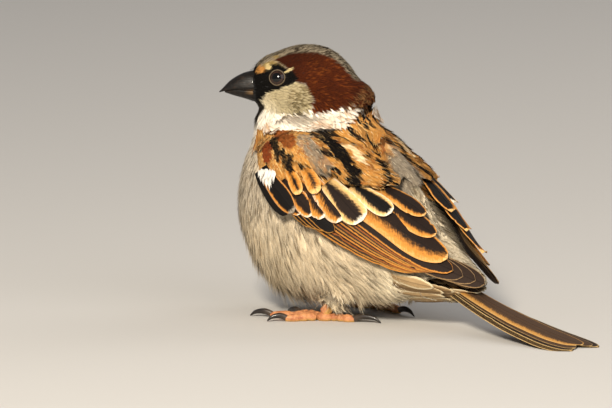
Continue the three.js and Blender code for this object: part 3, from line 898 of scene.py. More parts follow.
# small marks: their middle and reach, how far off the middle of the head they begin, and their tint
headSpots = [((12.4, 3.6), (1.4, 0.95), 2.0, "lore"), ((10.1, 4.3), (0.85, 0.75), 2.5, "cream"),
             ((8.3, 6.7), (1.2, 0.4), 2.0, "olive")]
browMark = {"slope": (0.869, 0.495), "middle": (-2.2, 5.5), "reach": (1.3, 0.3), "from": 4.0}


def collarLow(ahead):
    return np.interp(ahead, *headBorders["collarLow"])


# how much of a place's plumage is the head's
def headShare(p):
    ahead, _, up = ofHead(p)
    return smooth(up - collarLow(ahead), -3.0, -1.4)


def paintHead(p, rng):
    ahead, sideways, up = ofHead(p)
    across = np.abs(sideways)
    count = len(p)
    dyes = Dyes(count, headTints, "collar", "collar")
    lay = dyes.lay
    spread = uneven(p, rng, 5, 3, 0.12, 0.06)
    cheek = inside(ahead, up, headOutlines["cheek"], 0.3)
    lay(cheek, "cheek", "cheek")
    lay(cheek * smooth(ahead - 0.6 * up, 10, 14.5), "cheekPale", "cheekPale")
    streaky = rng.random(count) < 0.6
    ear = oval(ahead, up, (1.5, -3.6), (3.2, 4.0))
    lay(ear * streaky, "earDark", "ear")
    lay(ear * ~streaky * 0.6, "ear", "cheek")
    lay(smooth(-ahead, 12.5, 14.5), "nape", "napeEdge")
    chestnut = inside(ahead, up, headOutlines["chestnut"], 0.35)
    lay(chestnut, "chestnut", "chestnutEdge")
    deep = chestnut * smooth(ahead + 0.5 * up + 1.6 * mottle(p, 6, 12), -2, 6)
    lay(deep * 0.8, "chestnutDark", "chestnut")
    lay(chestnut * (rng.random(count) < 0.16) * (1 - deep), "chestnutEdge", "chestnutPale")
    napeFrom = np.interp(up, *headBorders["nape"])
    nape = smooth(napeFrom - ahead, -0.9, 0.9) * (1 - smooth(-up, 11.5, 13.5))
    lay(nape * (rng.random(count) < 0.62), "nape", "napeEdge")
    crownHalf = np.interp(ahead, *headBorders["crownHalf"])
    crown = (1 - smooth(across, crownHalf - 0.4, crownHalf + 0.4)) * smooth(up + 0.35 * ahead, -5.5, -3.0)
    lay(crown * (1 - nape), "crownDark", "crown")
    lay(crown * (rng.random(count) < 0.35), "crownDark", "crownDark")
    lay(smooth(up, 2.0, 3.4) * smooth(ahead, 4.5, 6.0) * (1 - crown) * (1 - chestnut), "crownDark", "olive")
    lay(inside(ahead, up, headOutlines["mask"], 0.25) * smooth(across, 0.0, 1.0), "black", "black")
    for middle, reach, start, tint in headSpots:
        lay(oval(ahead, up, middle, reach) * smooth(across, start, start + 1), tint, tint)
    c, d = browMark["slope"]
    brow = oval(up * d - ahead * c, ahead * d + up * c, browMark["middle"], browMark["reach"])
    lay(brow * smooth(across, browMark["from"], browMark["from"] + 1), "brow", "brow")
    bib = (1 - smooth(across, 2.6, 3.4)) * smooth(ahead, 5, 7) * smooth(-up, 3.0, 4.0)
    lay(bib * (1 - smooth(-up, 10.5, 13.5)), "black", "bibEdge")
    return dyes.shaded(spread)


bodyTints = tinted({
    "breast": "c6b8a1", "breastPale": "efe4d2", "belly": "cdbc9e", "bellyPale": "efe1c6", "streak": "6f5f4a",
    "flank": "d6c4a6", "rump": "b7a990", "rumpPale": "ddcfb4", "ventPale": "fff3d6", "paintedCreaseShade": "3c332a",
})
# the crease between breast and shoulder, along which feathers are darkened as painted shade
creaseShadeLine = [(-18.5, -13.5, 50.0), (-21.5, -17.5, 44.0), (-21.0, -20.5, 36.0), (-18.0, -21.0, 30.0)]


def paintBody(p, rng):
    count = len(p)
    x, y, z = p.T
    dyes = Dyes(count, bodyTints, "breast", "breastPale")
    lay = dyes.lay
    lay(smooth(-z, -34, -16), "belly", "bellyPale")
    lay(smooth(np.abs(y), 12, 19) * smooth(x, -12, 0), "flank", None)
    vent = smooth(x, 12, 24) * (1 - smooth(z, 12, 18))
    lay(vent, "ventPale", "ventPale", 0.7)
    lay(smooth(z - 0.75 * (30 - x), 8, 13) * smooth(x, 4, 9), "rump", "rumpPale")
    dark = (rng.random(count) < 0.12 + 0.14 * smooth(mottle(p, 9, 5), 0, 1)) * (1 - 0.6 * vent)
    lay(dark, "streak", "streak", 0.8, 0.3)
    lay(smooth(-x, 24, 32) * (rng.random(count) < 0.45), "streak", "streak", 0.75, 0.35)
    shank = smooth(-z, -11, -5) * smooth(-np.abs(x - 2), -10, -6)
    lay(shank * (rng.random(count) < 0.4), "streak", "streak", 0.7, 0.4)
    # painted shade in the crease between breast and shoulder
    lay(streak(p, creaseShadeLine, 2.6, 0.8) * (rng.random(count) < 0.75), "paintedCreaseShade", None)
    return dyes.shaded(uneven(p, rng, 8, 4, 0.1, 0.09))


backTints = tinted({
    "gold": "bd8541", "goldPale": "e3bd7e", "black": "0f0b09", "rufous": "8a4a1f", "grey": "857968",
    "greyPale": "bdb09b", "chestnut": "7a3414", "white": "fffaf2", "brown": "3c291c", "buff": "f0d8ab",
    "nape": "392a1e",
})
# places on the left of the back, mirrored to the right: a line, its width in mm and its tint
backMarks = [
    ([(-13.0, -14.4, 48.1), (-7.2, -17.7, 46.4)], 4.2, "rufous", "rufous"),
    ([(-14.2, -18.6, 45.2), (-12.2, -20.6, 41.8)], 3.0, "chestnut", "chestnut"),
    ([(-3.6, -15.6, 47.0), (0.6, -16.6, 43.6), (4.0, -16.4, 39.8)], 4.0, "grey", "greyPale"),
    ([(-2.2, -13.2, 48.0), (3.8, -14.8, 43.2)], 0.6, "brown", "brown"),
    ([(7.0, -9.6, 45.4), (11.6, -9.6, 41.9)], 2.6, "buff", "buff"),
    ([(2.5, -6.0, 50.8), (6.4, -4.6, 47.6)], 2.4, "nape", "gold"),
    ([(4.3, -0.6, 50.2), (8.5, -0.2, 47.8), (12.4, -0.6, 45.4)], 2.4, "black", "black"),
    ([(-0.8, -8.6, 49.8), (3.6, -7.6, 48.6)], 1.7, "black", "black"),
    ([(-3.6, -9.8, 48.9), (2.9, -12.3, 46.4)], 2.2, "black", "black"),
    ([(2.9, -12.3, 46.4), (7.5, -13.0, 43.0), (11.1, -14.1, 40.2), (14.5, -16.0, 36.4)], 3.3, "black", "black"),
    ([(7.2, -2.8, 47.2), (9.8, -2.2, 44.8)], 1.7, "black", "black"),
    ([(9.0, -6.3, 44.8), (13.2, -8.1, 41.3)], 1.2, "black", "black"),
    ([(10.4, -3.0, 43.4), (14.7, -5.1, 40.9), (20.0, -9.3, 36.0)], 2.0, "black", "black"),
    ([(-15.0, -15.7, 47.5), (-12.0, -18.8, 44.7)], 1.4, "black", "black"),
    ([(-12.6, -16.6, 46.9), (-8.5, -20.6, 41.8)], 1.6, "black", "black"),
    ([(-8.6, -18.9, 44.2), (-5.4, -20.8, 39.6)], 1.6, "black", "black"),
    ([(-5.9, -18.9, 42.8), (-3.6, -20.8, 38.2)], 1.7, "black", "brown"),
]


def paintBack(p, rng):
    count = len(p)
    x, y, z = p.T
    dyes = Dyes(count, backTints, "gold", "goldPale")
    lay = dyes.lay
    lay(smooth(mottle(p, 6, 8), -0.2, 0.9) * (rng.random(count) < 0.7), "rufous", None, 0.8)
    lay((rng.random(count) < 0.18) * smooth(x, -6, 2), None, "buff")
    flow = np.stack([(0.7 * x - 0.7 * z) / 5, y + 0.16 * x * np.sign(y), 0 * x], -1)
    nearNeck = smooth(8 - np.abs(y), 0, 4) * smooth(9 - x, 0, 4)
    dark = smooth(mottle(flow, 1.9, 21) + 0.4 * nearNeck, 0.25, 0.5) * (rng.random(count) < 0.85)
    lay(dark, "black", "brown", 1.0, 0.5)
    lay((1 - smooth(np.abs(y), 3.0, 5.5)) * smooth(x, 11, 16), "grey", "greyPale")
    frayed = p + rng.normal(0, 0.13, p.shape)
    for line, width, inner, outer in backMarks:
        faintest = 0.4 if inner == "grey" else 1.0
        mask = streak(frayed, line, width, 0.3) * rng.uniform(faintest, 1.0, count)
        lay(mask, inner, outer, 1.0, 0.92)
    ahead, _, up = ofHead(p)
    nape = smooth(up - collarLow(ahead), -2.6, -0.6) * smooth(-ahead, 4, 8)
    lay(nape * (rng.random(count) < 0.65), "nape", None)
    return dyes.shaded(uneven(p, rng, 5, 9, 0.08, 0.08))


# the skin shows between the feathers, darker than they are: painted shade in the gaps between them
def shadedSkinTints(p):
    rng = np.random.default_rng(1)
    onHead, _ = paintHead(p, rng)
    onBody, _ = paintBody(p, rng)
    # painted shade: the plumage's tints at about half brightness
    return mix(onBody * 0.55, onHead * 0.6, headShare(p)[:, None])


pointValues(skin.data, "tint", shadedSkinTints(toDrawing(vertexPlaces(skin.data))))


def skinFinish():
    made = Finish("skin", 0.8)
    fluff = made.noise(made.place(), 2500.0, 4.0)
    made.set(Base_Color=made.shade(made.stored("tint"), fluff * 0.5 + 0.7))
    made.bump(fluff, 0.3, 0.0002)
    return made.material


skin.data.materials.append(skinFinish())
dress(skin, "body_plumage", *flesh)


# the contour feathers of head, neck and body

# a ball over each eye that no feather reaches into: its radius, its place off the eye's middle, and how far ahead
# of a root it is looked for
eyeOpening = {"radius": 1.98, "off": (0.7, 2.2, 0.4), "ahead": 8}


def clearOfEyes(root, lie, length):
    radius = eyeOpening["radius"]
    a, s, u = np.add(bodyPlan["eye"], eyeOpening["off"])
    for side in (1, -1):
        centre = inHead(a, side * s, u)
        ahead = ((centre - root) * lie).sum(1)
        off = np.linalg.norm(centre - root - lie * ahead[:, None], axis=1)
        hit = ahead - np.sqrt(np.maximum(radius ** 2 - off ** 2, 0))
        near = (off < radius) & (ahead > 0) & (ahead < eyeOpening["ahead"])
        length = np.where(near, np.minimum(length, hit), length)
        length = np.where(np.linalg.norm(centre - root, axis=1) < radius, 0, length)
    return length


fitValues = {"shortest": 0.9, "step": 0.8, "off": 1.3, "looseOff": 3.5, "foldLoose": 0.7, "foldFacing": 0.25}


# a feather is shortened until its tip, laid straight, is near the form and doesn't reach across a fold
def fitted(form, root, normal, lie, length, loose):
    surface = BVHTree.FromPolygons(toDrawing(vertexPlaces(form.data)).tolist(),
                                   [tuple(face.vertices) for face in form.data.polygons])
    kept = length.copy()
    for n, (start, up, way) in enumerate(zip(root, normal, lie)):
        while kept[n] > fitValues["shortest"]:
            _, facing, _, off = surface.find_nearest((start + way * kept[n]).tolist())
            across = loose[n] < fitValues["foldLoose"] and np.dot(facing, up) < fitValues["foldFacing"]
            if off < fitValues["off"] + fitValues["looseOff"] * loose[n] and not across:
                break
            kept[n] *= fitValues["step"]
    return kept


coatValues = {
    "seed": 11, "borders": (0.18, 0.18, 1.2), "vary": 0.12, "size": (0.85, 1.15), "hang": (0.5, 1.3),
    "tipRise": (0.7, 1.25), "rootRise": 0.05, "crown": 0.4, "shortest": 0.45, "ground": 0.6, "paintedAt": 0.65,
    # left bare: the lowest of the underside, and a round place between leg and belly on each side
    "underLow": 6.5, "groin": (8.0, 6.8, 5.0), "groinReach": (5.0, 3.0, 2.6),
}


def bareAt(root, normal):
    off = (np.abs(root) - np.array(coatValues["groin"])) / np.array(coatValues["groinReach"])
    groin = (np.linalg.norm(off, axis=1) < 1) & (root[:, 0] < 0) & (normal[:, 2] < -0.1)
    return groin | (normal[:, 2] < -0.5) & (root[:, 2] < coatValues["underLow"])


def contour(form, keep, paint):
    root, normal, uv, rng = spreadRoots(form, lambda p: coatAt(p)[:, 0], keep, coatValues["seed"])
    values = coatAt(root)
    lie = flatOn(unit(lieAt(root, normal) + rng.normal(0, coatValues["vary"], root.shape)), normal)
    length = clearOfEyes(root, lie, values[:, 1] * rng.uniform(*coatValues["size"], len(root)))
    hang = values[:, 4] * rng.uniform(*coatValues["hang"], len(root))
    length = np.minimum(length, (root[:, 2] - coatValues["ground"]) / np.maximum(-lie[:, 2] * hang, 0.1))
    values[:, 4] = np.clip(hang, 0, 1)
    length = fitted(form, root, normal, lie, length, values[:, 4])
    kept = (length > coatValues["shortest"]) & ~bareAt(root, normal)
    root, normal, uv, lie, length, values = (x[kept] for x in (root, normal, uv, lie, length, values))
    width = values[:, 2] * rng.uniform(*coatValues["size"], len(root))
    centre, edge = paint(root + lie * length[:, None] * coatValues["paintedAt"], rng)
    tipRise = values[:, 3] * rng.uniform(*coatValues["tipRise"], len(root))
    lift = (coatValues["rootRise"], tipRise, width * coatValues["crown"])
    return feathersOf((root, normal, uv), lie, length, width, lift, values[:, 4], (centre, edge, edge),
                      coatValues["borders"])


# where the coat ends: at the bill's root, at the soles, and at what the folded wings hide
coatEnds = {
    "billFrom": 13.9, "billLean": 0.08, "billHalf": 5, "billLow": -6, "sole": 1.2,
    "wingDepth": 5, "wingUp": (0.2, 0.8), "wingAlong": (0.15, 0.6), "wingIn": 6,
}


def between(value, ends):
    return (value > ends[0]) & (value < ends[1])


def everywhere(middle, normal):
    ahead, sideways, up = ofHead(middle)
    bill = (ahead > coatEnds["billFrom"] + coatEnds["billLean"] * up) & (up > coatEnds["billLow"])
    bill &= np.abs(sideways) < coatEnds["billHalf"]
    s, t, off = onWingAt(middle)
    hidden = (off < coatEnds["wingDepth"]) & between(t, coatEnds["wingUp"]) & between(s, coatEnds["wingAlong"])
    hidden &= np.abs(middle[:, 1]) > coatEnds["wingIn"]
    return ~bill & ~hidden & (middle[:, 2] > coatEnds["sole"])


def paintAll(p, rng):
    onHead, onBody = paintHead(p, rng), paintBody(p, rng)
    share = (rng.random(len(p)) < headShare(p))[:, None] * 1.0
    return [mix(body, head, share) for body, head in zip(onBody, onHead)]


pieceEnds = {"head": -9, "headLean": 0.3, "face": 1.5, "front": -14, "frontLow": 22, "under": 4, "flankHigh": 20}


# which piece each feather goes to, its template and its slot
def coatPieces(root):
    ahead, _, up = ofHead(root)
    x, _, z = root.T
    onHead = up + pieceEnds["headLean"] * ahead > pieceEnds["head"]
    face = onHead & (ahead > pieceEnds["face"])
    front = ~onHead & (x < pieceEnds["front"]) & (z > pieceEnds["frontLow"])
    under = ~onHead & ~front & (z < pieceEnds["frontLow"]) & (x < pieceEnds["under"])
    rear = ~onHead & ~front & ~under
    high = z > pieceEnds["flankHigh"]
    return {
        "facePlumage": (face, "down", "head_plumage"), "hindHeadPlumage": (onHead & ~face, "down", "head_plumage"),
        "breastPlumage": (front, "tuft", "body_plumage"), "bellyPlumage": (under, "tuft", "body_plumage"),
        "flankPlumage": (rear & ~high, "tuft", "body_plumage"), "rumpPlumage": (rear & high, "tuft", "body_plumage"),
    }


coatFeathers = contour(skin, everywhere, paintAll)
for name, (mask, kind, slot) in coatPieces(coatFeathers["root"]).items():
    layCoat(name, skin, kind, {key: value[mask] for key, value in coatFeathers.items()}, slot)


# bristles round the bill's root: below a height they droop
bristleValues = {
    "ahead": (11.6, 13.6), "low": -5, "spacing": 0.75, "seed": 17, "droopBelow": 1, "droop": -0.35, "rise": 0.1,
    "vary": 0.18, "length": (1.4, 3.4), "width": 0.09, "rootRise": 0.1, "tipRise": (0.35, 1.3), "loose": 0.5,
}


def bristles():
    values = bristleValues

    def billEdge(middle, normal):
        ahead, _, up = ofHead(middle)
        return between(ahead, values["ahead"]) & (up > values["low"])
    *spread, rng = spreadRoots(skin, lambda p: np.full(len(p), values["spacing"]), billEdge, values["seed"])
    root, normal, _ = spread
    count = len(root)
    low = ofHead(root)[2] < values["droopBelow"]
    droop = np.where(low, values["droop"], values["rise"])[:, None] * upward
    lie = flatOn(headAhead + droop + rng.normal(0, values["vary"], root.shape), normal)
    length, tipRise = (rng.uniform(*values[key], count) for key in ("length", "tipRise"))
    tints = [np.tile(headTints["black"], (count, 1))] * 3
    return feathersOf(spread, lie, length, values["width"], (values["rootRise"], tipRise, 0), values["loose"], tints,
                      (0.2, 0.2, 0.2))


layCoat("bristles", skin, "bristle", bristles(), "head_plumage")


# big feathers: closed thin vanes with a raised shaft, laid on the folded wing or on the tail

tailPlan = {"root": (28, 0, 14.3), "drop": 22, "level": 0.7, "turn": 7, "length": 56, "steps": 12}


def onTail(s, t, height):
    s, t, height = np.broadcast_arrays(*(np.asarray(x, float) for x in (s, t, height)))
    steps, turned = tailPlan["steps"], -math.radians(tailPlan["turn"])
    x, z = np.zeros_like(s), np.zeros_like(s)
    for i in range(steps):
        slope = math.radians(tailPlan["drop"]) * (1 - tailPlan["level"] * ((i + 0.5) / steps) * s)
        x = x + np.cos(slope) * tailPlan["length"] * s / steps
        z = z - np.sin(slope) * tailPlan["length"] * s / steps
    zero = np.zeros_like(s)
    normal = np.stack([np.sin(slope), zero, np.cos(slope)], -1)
    point = np.stack([x, -t, z], -1) + normal * height[..., None]
    c, d = math.cos(turned), math.sin(turned)
    swing = np.array([(c, d, 0), (-d, c, 0), (0, 0, 1)])
    return point @ swing + np.array(tailPlan["root"]), normal @ swing


# in mm, but for the shares of the width, of the length and of a notch's reach; notches split the edges' barbs
vaneValues = {
    "edgeThick": 0.03, "middleThick": 0.09, "shaft": 0.12, "shaftHalf": 0.2, "rootWidth": 0.6, "fullFrom": 0.6,
    "notches": 3, "notchAt": (0.35, 0.96), "notchLong": (0.012, 0.03), "notchDeep": (0.06, 0.22), "lowest": 0.05,
}
quillColumns = np.array([-1, -0.88, -0.66, -0.4, -0.18, -0.06, 0, 0.06, 0.18, 0.4, 0.66, 0.88, 1])


# one quill: root and tip are [s, t]; across runs from -1 at its upper edge to 1 at its lower, outer edge
def quill(place, root, tip, wide, lift, look, camber=20, roll=0.12, point=0.5, blunt=0.7, rows=30, seed=0):
    rng = np.random.default_rng(seed)
    f = np.linspace(0, 1, rows) ** 0.85
    s = mix(root[0], tip[0], f)
    t = mix(root[1], tip[1], f)
    height = mix(lift[0], lift[1], f)
    centre, normal = place(s, t, height)
    length = np.linalg.norm(np.diff(centre, axis=0), axis=1).sum()
    along = unit(np.gradient(centre, axis=0))
    across = place(s, t + 0.01, height)[0] - place(s, t - 0.01, height)[0]
    across = unit(across - along * (across * along).sum(1, keepdims=True))
    end = np.maximum(0, (f - blunt) / (1 - blunt))
    width = wide * mix(vaneValues["rootWidth"], 1, np.minimum(f / vaneValues["fullFrom"], 1))
    half = width / 2 * np.maximum(1 - end ** 2.2, 0.0004) ** point
    u = quillColumns[None, :]
    reach = np.ones((rows, len(quillColumns)))
    for side in (-1, 1):
        edge = np.sign(quillColumns) == side
        for _ in range(rng.integers(0, vaneValues["notches"])):
            at, broad, deep = (rng.uniform(*vaneValues[key]) for key in ("notchAt", "notchLong", "notchDeep"))
            notch = deep * np.maximum(0, 1 - np.abs(f - at) / broad)
            reach[:, edge] -= notch[:, None] * np.abs(quillColumns)[edge]
    off = -u * reach * half[:, None]
    sink = off ** 2 / (2 * camber) + off / np.maximum(half[:, None], 0.01) * roll
    thick = vaneValues["edgeThick"] + vaneValues["middleThick"] * (1 - u ** 2)
    ridge = vaneValues["shaft"] * np.exp(-(off / vaneValues["shaftHalf"]) ** 2) * (1 - f[:, None] ** 3)
    spot = centre[:, None] + across[:, None] * off[..., None]
    top = spot + normal[:, None] * (thick + ridge - sink)[..., None]
    under = spot + normal[:, None] * (-thick - sink)[..., None]
    points = np.concatenate([top.reshape(-1, 3), under.reshape(-1, 3)])
    points[:, 2] = np.maximum(points[:, 2], vaneValues["lowest"])
    columns = len(quillColumns)
    layer = rows * columns
    i, j = np.meshgrid(np.arange(rows - 1), np.arange(columns - 1), indexing="ij")
    a = (i * columns + j).ravel()
    topFaces = np.stack([a, a + columns, a + columns + 1, a + 1], -1)
    rim = np.concatenate([np.arange(columns), np.arange(1, rows) * columns + columns - 1,
                          (rows - 1) * columns + np.arange(columns - 2, -1, -1),
                          np.arange(rows - 2, 0, -1) * columns])
    nextRim = np.roll(rim, -1)
    rimFaces = np.stack([rim, nextRim, nextRim + layer, rim + layer], -1)
    faces = np.concatenate([topFaces, topFaces[:, ::-1] + layer, rimFaces])
    grid, sideways, halves = (np.broadcast_to(one, (rows, columns)).ravel() for one in (f[:, None], u, half[:, None]))
    vane = np.stack([grid, sideways, np.zeros(layer)], -1)
    girth = np.stack([halves, np.full(layer, length), np.full(layer, seed * 3.7 % 97)], -1)
    uvTop = np.stack([0.02 + 0.46 * (sideways + 1) / 2, 0.03 + 0.94 * grid], -1)
    made = {"points": points, "faces": faces, "vane": np.tile(vane, (2, 1)), "girth": np.tile(girth, (2, 1)),
            "uv": np.concatenate([uvTop, uvTop + (0.5, 0)]), "rimFrom": len(faces) - len(rimFaces), "layer": layer}
    for key, value in zip(("centreTint", "edgeTint", "tipTint", "borders"), look):
        made[key] = np.tile(np.asarray(value, float), (len(points), 1))
    return made


def quillPiece(name, quills, slot, *nodes):
    points = np.concatenate([one["points"] for one in quills])
    starts = np.cumsum([0] + [len(one["points"]) for one in quills])
    faces = np.concatenate([one["faces"] + start for one, start in zip(quills, starts)])
    piece = meshOf(name, points, faces)
    mesh = piece.data
    for key in ("vane", "girth", "borders", "centreTint", "edgeTint", "tipTint"):
        pointValues(mesh, key, np.concatenate([one[key] for one in quills]))
    cells = math.ceil(math.sqrt(len(quills)))
    spots = []
    for n, one in enumerate(quills):
        uv = one["uv"][one["faces"]].copy()
        uv[one["rimFrom"]:, 2:] = uv[one["rimFrom"]:, 1::-1]
        spots.append((uv + (n % cells, n // cells)) / cells)
    atlas = mesh.uv_layers.new(name="OFBake")
    atlas.uv.foreach_set("vector", np.concatenate(spots).astype(np.float32).ravel())
    mesh.materials.append(quillPlumage)
    dress(piece, slot, *nodes)
    print(name, len(quills), "quills,", len(faces) * 2, "triangles")


wingTints = tinted({
    "dark": "20150f", "black": "0f0b09", "gold": "c98436", "goldPale": "e6b876", "tip": "f4e8d0", "rufous": "945322",
    "grey": "948878", "brown": "35261b", "line": "b37d38", "dull": "80613c", "rim": "8f7350", "deep": "2a1d15",
})


def look(centre, edge, tip, outer, inner, end):
    return wingTints[centre], wingTints[edge], wingTints[tip], (outer, inner, end)


def loopQuills(place, count, root, tip, wide, lift, looks, seed, **shape):
    made = []
    for n in range(count):
        f = n / max(count - 1, 1)
        at = [mix(np.array(pair[0]), np.array(pair[1]), f) for pair in (root, tip, lift)]
        chosenLook = looks[n % len(looks)]
        made.append(quill(place, at[0], at[1], mix(wide[0], wide[1], f), at[2], chosenLook, seed=seed + n, **shape))
    return made


covert = {"roll": 0.22, "rows": 26, "point": 0.42}
# quills placed one by one: the first one's seed, what they share, and for each its root and tip, width, height at
# root and tip, its look and where it begins to narrow
wingRows = {
    "tertials": (60, {"camber": 14}, [
        ([0.52, 0.43], [0.861, 0.575], 8.6, [1.9, 2.7], ("dark", "gold", "goldPale", 2.5, 0.5, 0.9), 0.66),
        ([0.56, 0.62], [0.803, 0.83], 6.8, [1.2, 3.1], ("dark", "gold", "goldPale", 1.3, 0.4, 0.6), 0.6),
        ([0.55, 0.76], [0.735, 0.93], 6.2, [1.0, 3.3], ("dark", "gold", "goldPale", 1.2, 0.4, 0.6), 0.6),
    ]),
    "greater": (70, covert, [
        ([0.26, 0.16], [0.425, 0.07], 4.2, [1.4, 1.8], ("dark", "gold", "tip", 0.6, 0.4, 0.5), 0.72),
        ([0.29, 0.23], [0.462, 0.11], 4.6, [1.6, 2.2], ("dark", "gold", "tip", 1.0, 0.5, 0.7), 0.72),
        ([0.34, 0.29], [0.499, 0.155], 5.0, [1.1, 2.4], ("dark", "gold", "tip", 1.6, 0.7, 0.8), 0.72),
        ([0.38, 0.37], [0.548, 0.215], 5.8, [1.3, 2.6], ("dark", "gold", "tip", 1.7, 0.8, 0.9), 0.72),
        ([0.43, 0.43], [0.597, 0.325], 7.2, [1.5, 2.8], ("dark", "goldPale", "tip", 1.1, 1.6, 1.2), 0.72),
        ([0.5, 0.56], [0.647, 0.585], 6.0, [1.7, 3.0], ("black", "goldPale", "tip", 1.2, 0.9, 0.9), 0.72),
    ]),
    "median": (81, covert, [
        ([0.25, 0.4], [0.385, 0.2], 3.4, [0.8, 2.8], ("black", "gold", "goldPale", 1.2, 1.0, 1.2), 0.72),
        ([0.3, 0.48], [0.435, 0.29], 4.0, [0.8, 3.0], ("brown", "gold", "goldPale", 1.6, 1.1, 1.6), 0.72),
    ]),
    "alula": (95, {"rows": 24}, [
        ([0.19, 0.21], [0.405, 0.045], 5.0, [2.5, 2.6], ("black", "gold", "grey", 0.55, 0.25, 1.1), 0.66),
        ([0.18, 0.12], [0.385, -0.01], 4.2, [2.0, 2.0], ("black", "black", "brown", 0.2, 0.2, 0.3), 0.7),
    ]),
}


def wingQuills(side):
    place = onWing(side)

    def placed(name):
        seed, shared, rows = wingRows[name]
        made = []
        for n, (root, tip, wide, lift, looks, blunt) in enumerate(rows):
            shape = {**shared, "blunt": blunt}
            if side < 0:
                shape["roll"] = shape.get("roll", 0.12) + 0.6
                looks = ("black",) + looks[1:]
            made.append(quill(place, root, tip, wide, lift, look(*looks), seed=seed + n, **shape))
        return made

    hidden, shown = look("brown", "brown", "brown", 0.1, 0.1, 0.1), look("deep", "rim", "rim", 0.24, 0.16, 0.3)
    primaries = loopQuills(place, 3, ([0.42, 0.06], [0.46, 0.16]), ([0.99, 0.42], [0.94, 0.44]), (5.0, 5.6),
                           ([0.1, 0.1], [0.35, 0.35]), [hidden], 20, point=0.75, blunt=0.8)
    primaries += loopQuills(place, 3, ([0.42, 0.1], [0.5, 0.27]), ([1.0, 0.52], [0.915, 0.36]), (6.2, 6.2),
                            ([0.5, 0.5], [1.0, 1.1]), [shown], 23, point=0.6, blunt=0.78)
    lines = [look("dark", "gold", "dull", 0.34, 0.12, 0.4), look("brown", "line", "dull", 0.3, 0.12, 0.4),
             look("dark", "rufous", "dull", 0.34, 0.12, 0.4)]
    secondaries = loopQuills(place, 10, ([0.37, 0.08], [0.46, 0.36]), ([0.79, 0.1], [0.885, 0.38]), (5.4, 6.4),
                             ([1.1, 1.1], [1.7, 1.9]), lines, 40)
    primaryCoverts = loopQuills(place, 4, ([0.3, 0.1], [0.36, 0.17]), ([0.48, 0.035], [0.545, 0.09]), (3.4, 3.8),
                                ([1.4, 1.6], [1.7, 2.0]), [look("black", "line", "brown", 0.22, 0.15, 0.2)], 90,
                                blunt=0.75, rows=20)
    return {"primaries": primaries, "secondaries": secondaries, "tertials": placed("tertials"),
            "greater_coverts": placed("greater") + placed("median") + primaryCoverts, "alula": placed("alula")}


sides = {"left": 1, "right": -1}
for sideName, side in sides.items():
    for layer, quills in wingQuills(side).items():
        quillPiece(f"{sideName}_{layer}", quills, "wing_plumage", f"wing_{sideName}_{layer}")


tailTints = tinted({"dark": "4a3626", "edge": "7d6342", "pale": "bfa06c", "stripe": "c08a44", "deep": "2c2018",
                    "covert": "7d6444", "covertPale": "ab8e66", "cream": "d9c8a4"})
# from the middle pair outwards: how far off the middle the tip lies, its share of the length, its border and tints
tailRows = [
    (1.0, 0.95, 1.5, "dark", "stripe"), (2.9, 0.975, 0.25, "dark", "edge"), (4.6, 0.985, 0.25, "deep", "pale"),
    (4.6, 0.99, 0.05, "deep", "deep"), (4.7, 0.985, 0.05, "deep", "deep"), (5.6, 0.97, 0.25, "dark", "pale"),
]
# off the middle, how far down the tail it reaches, and its height over the tail at its root and its tip
tailCoverts = [(-4.0, 0.16, -2.6, -2.2), (0.0, 0.2, -3.0, -2.4), (4.0, 0.16, -2.6, -2.2), (-4.4, 0.13, 0.4, 0.3),
               (4.4, 0.13, 0.4, 0.3), (-2.4, 0.17, 1.4, 0.5), (2.4, 0.17, 1.4, 0.5), (0.2, 0.21, 2.2, 0.7)]


def tailQuills():
    made = []
    for n in range(len(tailRows) - 1, -1, -1):
        spread, tip, border, tint, rim = tailRows[n]
        for side in (1, -1):
            outer = border if side > 0 or n > 0 else 0.3
            finish = (tailTints[tint], tailTints[rim], tailTints["pale"], (outer, 0.18, 0.4))
            one = quill(onTail, [0, side * 0.6], [tip - 0.006 * (side > 0), side * spread], 7.2, [-0.4 * n, -0.2 * n],
                        finish, camber=60, roll=0, blunt=0.8, rows=36, seed=200 + 2 * n + (side > 0))
            if side > 0:
                one["vane"][:, 1] *= -1
            made.append(one)
    for n, (off, reach, rise, end) in enumerate(tailCoverts):
        finish = (tailTints["covert"], tailTints["covertPale"], tailTints["covertPale"], (0.9, 0.9, 1.2))
        made.append(quill(onTail, [-0.17, off * 0.6], [reach, off], 5.0, [rise, end], finish, camber=7, roll=0,
                          blunt=0.55, rows=16, seed=230 + n))
    return made


quillPiece("tail", tailQuills(), "tail_plumage", "tail_centre", "tail_left", "tail_right")


# the vent's coverts wrap the end of the body under the tail: its half width, widest height and depth along it
ventPlan = {
    "along": [20, 25, 28, 32, 36, 40, 44],
    "halfWidth": [16.0, 13.7, 12.1, 10.0, 7.8, 5.5, 4.0],
    "widest": [17.4, 15.6, 14.9, 14.2, 13.4, 12.4, 11.8],
    "depth": [12.8, 10.1, 8.8, 7.1, 5.3, 2.6, 1.6],
    # how far along the roots and the tips lie, and the turns round the body, 0 underneath and positive to the left
    "rows": [(30, 41.5, 3.4, 6, 0.8), (27, 38.5, 3.6, 9, 1.15), (23, 34.5, 3.8, 11, 1.35)],
}


def onVent(s, t, height):
    s, t, height = np.broadcast_arrays(*(np.asarray(x, float) for x in (s, t, height)))

    def at(x, turned):
        wide, middle, deep = (np.interp(x, ventPlan["along"], ventPlan[key])
                              for key in ("halfWidth", "widest", "depth"))
        return np.stack([x, -wide * np.sin(turned), middle - deep * np.cos(turned)], -1)
    normal = unit(np.cross(at(s, t + 0.02) - at(s, t - 0.02), at(s + 0.2, t) - at(s - 0.2, t)))
    outward = np.stack([0 * s, -np.sin(t), -np.cos(t)], -1)
    normal = normal * np.sign((normal * outward).sum(-1, keepdims=True))
    return at(s, t) + normal * height[..., None], normal


